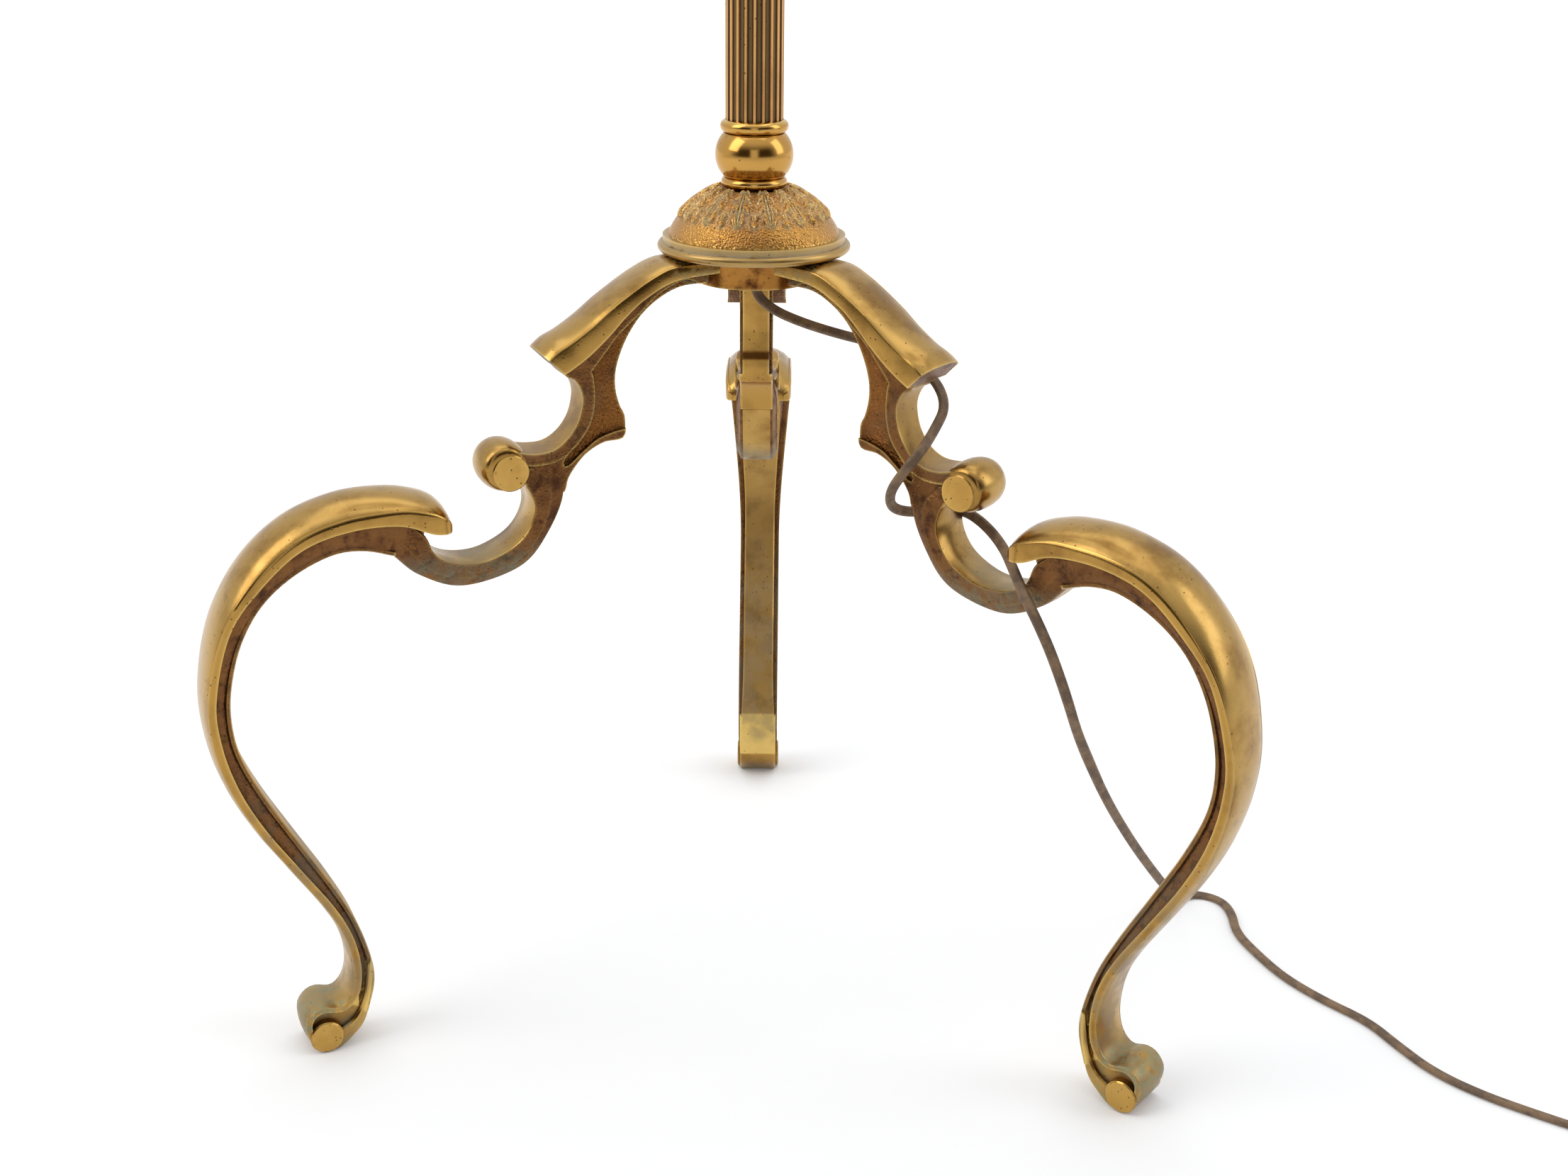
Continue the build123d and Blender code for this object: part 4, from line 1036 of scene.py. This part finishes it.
    def pieces(self, materials: Sequence[bpy.types.Material]) -> bpy.types.Mesh:
        """Mesh of the whole leg in its own plane."""
        solids = {}
        solids["web"] = Solid().plate(closed(self.web, 150), self.web_half, EDGE, FLANK)
        tongue = list(zip(trace(self.tongue_crown, 44), trace(self.tongue_under, 44)))
        solids["tongue"] = Solid().stroke(
            tongue, lambda s: self.tongue_half * (1 + 0.04 * smoothstep(0.85, 1, s)),
            lambda s: crowned(0.34), FLANK)
        throat = beneath(self.throat[::-1], 40, lambda s: -6.0)
        solids["throat"] = Solid().stroke(
            [(foot, top) for top, foot in throat],
            lambda s: 12.0 - 3.0 * smoothstep(0.0, 0.45, s),
            lambda s: THROAT_SECTION)
        solids["knuckle"] = Solid().spool(
            self.barrel, BARREL_PROFILE, 48, [EDGE, EDGE, *[SATIN] * 8, *[EDGE] * 3])
        solids["disc"] = disc(self.knuckle, self.knuckle_face, self.knuckle_edge)
        scroll = list(zip(trace(self.scroll_inner, 60), trace(self.scroll_outer, 60)))
        solids["scroll"] = Solid().stroke(
            scroll, lambda s: self.scroll_half * (0.82 + 0.18 * smoothstep(0, 0.12, s)),
            lambda s: SCROLL_SECTION)
        solids["core"] = Solid().stroke(
            self.core_pairs(120), self.core_width,
            lambda s: CORE_SECTION, FLANK)
        cover = self.cover_pairs(170)
        solids["cover"] = Solid().stroke(
            cover, self.cover_width,
            lambda s: crowned(0.42 + 0.28 * smoothstep(0.02, 0.12, s)
                              - 0.34 * smoothstep(0.22, 0.5, s)),
            EDGE)
        rim = beneath(self.calf_back, 90, lambda s: 2.6)
        solids["rim"] = Solid().stroke(
            rim, self.rim_width,
            lambda s: RIM_SECTION, FLANK)
        solids["heel"] = Solid().plate(closed(self.heel, 70), self.heel_half, EDGE,
                                       SATIN, self.foot_chamfer)
        solids["hollow"] = Solid().plate(closed(self.hollow, 50), self.hollow_half,
                                         DULL, DULL, self.foot_chamfer)
        solids["eye"] = disc(self.eye, self.eye_face, self.eye_edge)
        parts = [solid.build(name, materials) for name, solid in solids.items()]
        cuts = []
        for side in (-1, 1):
            floor_at = side * (self.web_half - self.panel_depth)
            outside = side * (self.web_half + 4)
            rings = [[Vector((p.x, s, p.y)) for p in closed(self.panel, 120)]
                     for s in (floor_at, outside)]
            cuts.append(Solid().rings(rings, [FLANK] * len(rings[0]), end_mark=Mark.PANEL).build(
                f"panel_{side}", materials))
        web_piece = parts.pop(0)
        mesh = combined([web_piece], cuts)
        web_again = piece_of("web_cut", mesh, materials)
        return combined([web_again, *parts])

    def age(self, mesh: bpy.types.Mesh) -> None:
        """Give the casting its dull and green parts."""
        dull = mesh.attributes.new("dull", "FLOAT", "POINT")
        green = mesh.attributes.new("green", "FLOAT", "POINT")
        for number, vert in enumerate(mesh.vertices):
            r, z = vert.co.x / MM, vert.co.z / MM
            throat = (smoothstep(16, 8, hypot(r - self.throat_dirt[0], z - self.throat_dirt[1]))
                      + smoothstep(14, 6, hypot(r - self.nose_dirt[0], z - self.nose_dirt[1])))
            scroll = (0.7 * smoothstep(262, 250, z) * smoothstep(205, 180, r)
                      * smoothstep(235, 240, z))
            foot = smoothstep(34, 24, z) * smoothstep(224, 230, r)
            rim = smoothstep(52, 46, r)
            if hypot(r - self.eye[0], z - self.eye[1]) < 9.2:
                foot = 0.0
            calf = 0.5 * smoothstep(175, 105, z) * smoothstep(24, 34, z)
            dull.data[number].value = min(1.0, 0.2 * throat + scroll + 0.5 * foot + calf)
            green.data[number].value = min(1.0, 0.8 * foot + 0.5 * scroll + 0.4 * rim)

    def build(self, materials: Sequence[bpy.types.Material]) -> None:
        """Make the three legs."""
        shape = self.pieces(materials)
        self.age(shape)
        for name, azimuth in self.azimuths.items():
            mesh = shape.copy()
            mesh.transform(Matrix.Rotation(radians(azimuth), 4, "Z"))
            piece = piece_of(f"{name}_look", mesh, materials, 36)
            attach(piece, LAMP)
            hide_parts(name)
            log.info("%s: %d faces", piece.name, len(mesh.polygons))


# ---- hub --------------------
def ring_of(source: bpy.types.Object, count: int, finish: bpy.types.Material) -> bpy.types.Object:
    """Copies of an object evenly round the vertical axis.

    Args:
        source: what is repeated; it goes afterwards.
        count: how many.
        finish: the copies' material.

    Returns:
        One closed mesh object at the origin.
    """
    tree = bpy.data.node_groups.new("ring_of", "GeometryNodeTree")
    face = tree.interface
    face.new_socket("Geometry", in_out="OUTPUT", socket_type=Socket.GEOMETRY.value)
    sockets = {label: face.new_socket(label, in_out="INPUT", socket_type=kind.value).identifier
               for label, kind in (("Source", Socket.OBJECT), ("Count", Socket.INT),
                                   ("Finish", Socket.MATERIAL))}
    graph = Graph(tree)
    entry = graph.add("NodeGroupInput").outputs
    spots = graph.add("GeometryNodeMeshLine", {"Count": entry["Count"], "Offset": (0, 0, 0)})
    step = graph.math("DIVIDE", TAU, entry["Count"])
    turn = graph.add("ShaderNodeCombineXYZ", {2: graph.math(
        "MULTIPLY", graph.add("GeometryNodeInputIndex").outputs[0], step)})
    shape = graph.add("GeometryNodeObjectInfo", {"Object": entry["Source"]})
    copies = graph.add("GeometryNodeInstanceOnPoints", {
        "Points": spots.outputs[0], "Instance": shape.outputs["Geometry"],
        "Rotation": turn.outputs[0]})
    real = graph.add("GeometryNodeRealizeInstances", {0: copies.outputs[0]})
    dressed = graph.add("GeometryNodeSetMaterial", {"Geometry": real.outputs[0],
                                                    "Material": entry["Finish"]})
    graph.add("NodeGroupOutput", {0: dressed.outputs[0]})
    holder = linked(f"{source.name}_ring", bpy.data.meshes.new("empty"))
    change = holder.modifiers.new("ring_of", "NODES")
    change.node_group = tree
    change[sockets["Source"]], change[sockets["Count"]] = source, count
    change[sockets["Finish"]] = finish
    name = holder.name
    mesh = settled(holder)
    bpy.data.objects.remove(source)
    return piece_of(name, mesh, [finish])


@dataclass
class Dome:
    """Hollow cast boss with a ring of pointed leaves and a stippled band under them."""

    crown: float = 16.8
    skirt: float = 42.1
    foot: float = 401.0
    height: float = 22.6
    bulge: float = 1.42
    wall: float = 3.0
    leaves: int = 14
    leaf_half: float = 5.5
    leaf_top: float = 0.02
    leaf_tip: float = 0.68
    bud_top: float = 0.48
    bud_tip: float = 0.66
    bud_half: float = 2.5
    relief: float = 1.9

    def side(self, share: float, lift: float = 0.0) -> Point:
        """Point of the side by share from crown to skirt, lifted off it."""
        def plain(s: float) -> Vector:
            out = sin(s * pi / 2) ** (2 / self.bulge)
            up = cos(s * pi / 2) ** (2 / self.bulge)
            return Vector((self.crown + (self.skirt - self.crown) * out,
                           self.foot + self.height * up))
        share = min(1.0, max(0.0, share))
        way = (plain(min(1.0, share + 0.01)) - plain(max(0.0, share - 0.01))).normalized()
        spot = plain(share) + Vector((-way.y, way.x)) * lift
        return spot.x, spot.y

    def shell(self, top: float, tip: float, half: Callable[[float], float],
              height: Callable[[float, float], float], turned: float = 0.0) -> Solid:
        """Closed relief lying on the dome.

        Args:
            top: share of the side at its upper end.
            tip: share of the side at its tip.
            half: half its width in millimetres by share of its length.
            height: its height by share of its length and of its width.
            turned: azimuth in radians.

        Returns:
            The solid.
        """
        rows, across = 40, 25
        rings = []
        for row in range(rows):
            share = row / (rows - 1)
            wide = max(0.25, half(share))
            upper, lower = [], []
            for column in range(across):
                aside = 2 * column / (across - 1) - 1
                for lift, line in ((height(share, aside), upper), (-0.7, lower)):
                    radius, z = self.side(top + (tip - top) * share, lift)
                    angle = turned + aside * wide / radius
                    line.append(polar(radius, angle, z))
            rings.append([*upper, *reversed(lower)])
        return Solid().rings(rings)

    def leaf_width(self, share: float) -> float:
        """Half width of a leaf, with notches between its lobes."""
        body = 2.3 + (self.leaf_half - 2.3) * smoothstep(0.0, 0.62, share)
        notch = 1 - 0.26 * max(0.0, cos(TAU * (share - 0.28) / 0.24)) * smoothstep(0.15, 0.3, share)
        return body * notch * sqrt(max(0.0, 1 - smoothstep(0.62, 1.0, share) ** 1.6))

    def leaf_height(self, share: float, aside: float) -> float:
        """Height of a leaf's relief."""
        across = abs(aside)
        rib = smoothstep(0.17, 0.04, across)
        lobes = smoothstep(0.13, 0.30, across) * smoothstep(1.0, 0.72, across)
        phase = (share * 4.0 - across * 1.3) % 1.0
        vein = (1 - 0.75 * smoothstep(0.28, 0.0, min(phase, 1 - phase))
                * smoothstep(0.25, 0.45, across))
        ends = smoothstep(0.0, 0.06, share) * smoothstep(1.02, 0.9, share)
        return self.relief * (0.75 * rib + 0.85 * lobes * vein) * ends - 0.12

    def bud_width(self, share: float) -> float:
        """Half width of a three-lobed tip between two leaves."""
        waist = 1 - 0.45 * max(0.0, cos(TAU * (share - 0.52) / 0.5))
        return self.bud_half * waist * sqrt(max(0.0, sin(pi * min(1.0, share * 0.92 + 0.08))))

    def bud_height(self, share: float, aside: float) -> float:
        """Height of a three-lobed tip's relief."""
        lobe = 1 - abs(abs(aside) * 1.6 - 0.5) * smoothstep(0.7, 0.4, share) * 0.8
        return self.relief * 0.9 * lobe * (1 - aside * aside) ** 0.5 - 0.1

    def build(self, finish: bpy.types.Material) -> bpy.types.Object:
        """Make the dome and return it."""
        steps = 40
        outer = [self.side(k / steps) for k in range(steps + 1)]
        inner = [(r - self.wall, z - self.wall * (1 - k / steps)) for k, (r, z) in enumerate(outer)]
        body = Solid().lathe([*outer, *reversed(inner)], 168).build("dome_body", [finish])
        leaf = self.shell(self.leaf_top, self.leaf_tip, self.leaf_width, self.leaf_height)
        bud = self.shell(self.bud_top, self.bud_tip, self.bud_width, self.bud_height,
                         pi / self.leaves)
        rings = [ring_of(leaf.build("leaf", [finish]), self.leaves, finish),
                 ring_of(bud.build("bud", [finish]), self.leaves, finish)]
        piece = piece_of("dome_look", combined([body, *rings]), [finish], 50)
        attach(piece, LAMP)
        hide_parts("dome")
        log.info("dome: %d faces", len(piece.data.polygons))
        return piece


# ---- shade and plug --------------------
@dataclass
class Shade:
    """Pleated cloth on a wire frame, with braid at both edges."""

    low_radius: float = 225.0
    high_radius: float = 132.0
    foot: float = 1333.8
    height: float = 235.0
    pleats: int = 128
    fold: float = 1.15
    cloth: float = 0.4
    trim_height: float = 12.0
    trim_gap: float = 0.05
    trim_thick: float = 1.4

    def radius(self, height: float) -> float:
        """Outer radius of the cloth at a height over its foot."""
        return self.low_radius + (self.high_radius - self.low_radius) * height / self.height

    def cover(self, finish: bpy.types.Material) -> bpy.types.Object:
        """Make the pleated cloth."""
        waves = (0.0, 0.55, 0.95, 1.0, 0.6, 0.12)
        rings = []
        for pleat in range(self.pleats):
            for stage, wave in enumerate(waves):
                angle = TAU * (pleat + stage / len(waves)) / self.pleats
                ring = []
                for inward, heights in ((0.0, (0.0, 0.5, 1.0)), (self.cloth, (1.0, 0.5, 0.0))):
                    for up in heights:
                        radius = self.radius(up * self.height) - self.fold * wave - inward
                        ring.append(polar(radius, angle, self.foot + up * self.height))
                rings.append(ring)
        piece = Solid().rings(rings, joined=True).build("shade_cloth", [finish], 60)
        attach(piece, LAMP)
        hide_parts("shade_cover")
        return piece

    def braid(self, name: str, node: str, low: float,
              finish: bpy.types.Material) -> bpy.types.Object:
        """Make one braid.

        Args:
            name: its name.
            node: CAD node it stands for.
            low: height of its lower edge over the cloth's foot.
            finish: its material.

        Returns:
            The braid.
        """
        strands, across = 420, 9
        rings = []
        for step in range(strands):
            angle = TAU * step / strands
            front, back = [], []
            for row in range(across):
                up = row / (across - 1)
                height = low + up * self.trim_height
                weave = sin(pi * step / 3.5 + up * 9) * cos(pi * step / 3.5 - up * 9)
                swell = sin(pi * up) ** 0.4
                radius = self.radius(height) + self.trim_gap + self.trim_thick * (
                    0.35 + 0.45 * swell + 0.18 * weave * swell)
                front.append(polar(radius, angle, self.foot + height))
                radius = self.radius(height) + self.trim_gap
                back.append(polar(radius, angle, self.foot + height))
            rings.append([*front, *reversed(back)])
        piece = Solid().rings(rings, joined=True).build(name, [finish], 70)
        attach(piece, LAMP)
        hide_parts(node)
        return piece

    def build(self, cloth: bpy.types.Material, braid: bpy.types.Material) -> None:
        """Make the cloth and both braids."""
        self.braid("shade_braid_low", "shade_trim_bottom", 0.0, braid)
        self.braid("shade_braid_high", "shade_trim_top", self.height - self.trim_height, braid)
        self.cover(cloth)


@dataclass
class Plug:
    """Round two-pin plug with a ribbed grip."""

    start: tuple[float, float, float] = (517.0, -215.0, 17.05)
    way: tuple[float, float, float] = (2.0, 17.0, 0.0)
    neck: float = 13.0
    radius: float = 17.0
    length: float = 28.0
    neck_radius: float = 6.0
    grips: int = 18

    def build(self, finish: bpy.types.Material) -> bpy.types.Object:
        """Make the plug's body and return it."""
        end = self.neck + self.length
        profile = [
            (2.7, 2.0), (3.4, 0.2), (4.4, 0.0), (4.9, 1.2), (4.6, 2.6), (5.2, 3.8), (4.9, 5.2),
            (5.6, 6.6), (self.neck_radius + 0.6, 8.2), (10.5, 9.0), (14.4, 10.6), (15.6, 13.0),
            (self.radius - 0.9, 16.0), (self.radius - 0.5, 20.0), (self.radius - 0.5, end - 9),
            (self.radius - 1.4, end - 8), (self.radius - 1.4, end - 7),
            (self.radius - 0.1, end - 6), (self.radius, end - 1.2),
            (self.radius - 1.0, end - 0.1), (4.2, end), (3.4, end - 1.4), (2.7, end - 1.6),
            (2.7, end - 12)]
        steps = self.grips * 8
        rings = []
        for step in range(steps):
            angle = TAU * step / steps
            groove = max(0.0, cos(self.grips * angle)) ** 3
            ring = []
            for r, z in profile:
                pressed = 1.1 * groove * smoothstep(13.5, 16, z) * smoothstep(end - 9, end - 12, z)
                radius = r - (pressed if r > 14 else 0.0)
                ring.append(polar(radius, angle, z))
            rings.append(ring)
        turn = Vector(self.way).to_track_quat("Z", "Y").to_matrix().to_4x4()
        matrix = Matrix.Translation(Vector(self.start) * MM) @ turn
        piece = Solid().rings(rings, joined=True).build("plug_look", [finish], 40, matrix)
        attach(piece, LAMP)
        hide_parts("plug_body")
        return piece


# ---- finishes of the pieces --------------------
def glass() -> bpy.types.Material:
    """Clear thin glass with a trace of dust."""
    material, graph, shader = new_material("bulb_clear")
    spot = graph.add("ShaderNodeTexCoord").outputs["Object"]
    rough = graph.times(graph.noise(spot, 60.0), 0.08)
    graph.feed(shader, {"Roughness": rough})
    shader.inputs["Transmission Weight"].default_value = 1.0
    shader.inputs["IOR"].default_value = 1.45
    return material


def dress(finish: bpy.types.Material, *nodes: str) -> None:
    """Give carried-over CAD nodes a finish."""
    for name in nodes:
        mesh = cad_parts[name].data
        if not mesh.materials:
            mesh.materials.append(finish)
        for number in range(len(mesh.materials)):
            mesh.materials[number] = finish
    log.info("%s on %s", finish.name, ", ".join(nodes))


def dress_frame() -> None:
    """Finish every CAD node that is shown."""
    turned = BrassFinish("turned_brass", gold=(194, 148, 76), clouded=(172, 126, 62),
                         patina=(86, 54, 28),
                         patina_share=0.26, roughness=0.12, cloud_share=0.35, pit_share=0.08,
                         dust=(140, 146, 118), dust_share=0.12, reach=0.0024, bump=0.05).material()
    rim = BrassFinish("rim_brass", gold=(172, 138, 80), clouded=(154, 124, 76),
                      patina=(104, 76, 44),
                      patina_share=0.25, dust=(192, 184, 158), dust_share=0.6, roughness=0.26,
                      reach=0.0024).material()
    drum = BrassFinish("drum_brass", gold=(170, 118, 56), clouded=(142, 90, 42),
                       patina=(90, 52, 28),
                       patina_share=0.4, roughness=0.22, pit_share=0.2, cloud_scale=38.0).material()
    column = BrassFinish("column_brass_worn", gold=(222, 168, 104), clouded=(198, 144, 86),
                         patina=(74, 48, 42), patina_share=0.2, roughness=0.24, edge_wear=0.25,
                         crevice_shade_and_dirt=0.0, fluted=(0.0134, 0.0139), dust_share=0.06,
                         dust=(170, 160, 140)).material()
    steel = BrassFinish("plain_steel", gold=(128, 126, 122), clouded=(104, 100, 96),
                        patina=(86, 62, 44), bright=(190, 188, 184)).material()
    wire = BrassFinish("wire_brass", gold=(170, 132, 70), patina_share=0.3).material()
    pins = BrassFinish("pin_brass_worn", gold=(190, 150, 80), roughness=0.2).material()
    china = MouldedFinish("glazed_china", (226, 220, 206), (214, 206, 190), (240, 236, 226), 0.18,
                          coat=0.6).material()
    bush = MouldedFinish("dark_bush", (44, 34, 28), (34, 26, 22), (80, 66, 54)).material()
    dress(turned, "neck_ring", "ball_collar", "seat_ring", "top_seat_ring", "top_ball",
          "top_neck_ring", "drip_cup", "holder_cap", "holder_shell", "shade_nut", "holder_collar",
          "switch_key", "switch_spindle")
    dress(rim, "rim_ring")
    dress(drum, "hub_drum")
    dress(column, "column")
    dress(steel, "centre_pipe", "pipe_washer", "pipe_nut", "head_nut", "leg_screws",
          "bulb_filament")
    dress(wire, "shade_hoop_low", "shade_hoop_high", "shade_ribs", "shade_carrier",
          "holder_screw_shell", "holder_contacts", "bulb_cap")
    dress(pins, "plug_pins", "plug_screw")
    dress(china, "holder_insert")
    dress(bush, "cord_bushing", "inner_flex")
    dress(glass(), "bulb_glass")


def leg_finishes() -> list[bpy.types.Material]:
    """Materials of a leg in the order of its marks."""
    return [
        BrassFinish("leg_satin", gold=(182, 146, 82), clouded=(142, 106, 54), patina=(104, 70, 36),
                    patina_share=0.26, roughness=0.21, pit_share=0.16).material(),
        BrassFinish("leg_edge", gold=(176, 136, 70), clouded=(142, 106, 54), patina=(96, 64, 36),
                    patina_share=0.22, roughness=0.16).material(),
        BrassFinish("leg_flank", gold=(126, 86, 50), clouded=(106, 70, 42), patina=(80, 52, 36),
                    patina_share=0.42, roughness=0.38, edge_wear=0.6, stipple=1.0, bump=0.5,
                    cloud_scale=70.0).material(),
        BrassFinish("leg_panel", gold=(140, 92, 46), clouded=(112, 70, 34), patina=(70, 44, 26),
                    patina_share=0.35, stipple=2.0, roughness=0.42, bump=0.8, pit_share=0.3,
                    crevice_shade_and_dirt=1.0).material(),
        BrassFinish("leg_dull", gold=(172, 136, 76), clouded=(146, 114, 66), patina=(100, 70, 42),
                    roughness=0.36, cloud_scale=60.0).material(),
        BrassFinish("leg_disc", gold=(196, 156, 84), clouded=(174, 134, 68), patina_share=0.12,
                    pit_share=0.35, roughness=0.16, bump=0.2).material()]


def main() -> None:
    """Build the scene."""
    logging.basicConfig(level=logging.INFO, format="%(name)s: %(message)s")
    Studio().build()
    dress_frame()
    flex = MouldedFinish("flex_cover", (128, 102, 74), (94, 74, 56), (176, 154, 118),
                         roughness=0.55, scale=120.0, bump=0.5).material()
    Plug().build(MouldedFinish("plug_bakelite", (58, 34, 22), (46, 27, 18), (96, 62, 42), 0.22,
                               coat=0.3).material())
    Flex().build(flex)
    LegShape().build(leg_finishes())
    Dome().build(BrassFinish("dome_brass", gold=(190, 138, 66), clouded=(158, 108, 50),
                             patina=(84, 54, 28), dust=(198, 186, 154), dust_share=0.6,
                             crevice_shade_and_dirt=0.5, patina_share=0.2, stipple=1.6, stipple_scale=1100.0,
                             roughness=0.22, bump=0.6, pit_share=0.25, reach=0.0011,
                             edge_wear=1.0, bright=(246, 206, 122)).material())
    cloth = MouldedFinish("cream_cloth", (226, 212, 182), (220, 204, 172), (236, 226, 204), 0.8,
                          scale=900.0, fine=2500.0, crevice_shade_and_dirt=0.1).material()
    braid = MouldedFinish("gold_braid", (176, 146, 88), (158, 128, 74), (206, 182, 124), 0.6,
                          scale=300.0).material()
    Shade().build(cloth, braid)


if __name__ == "__main__":
    main()
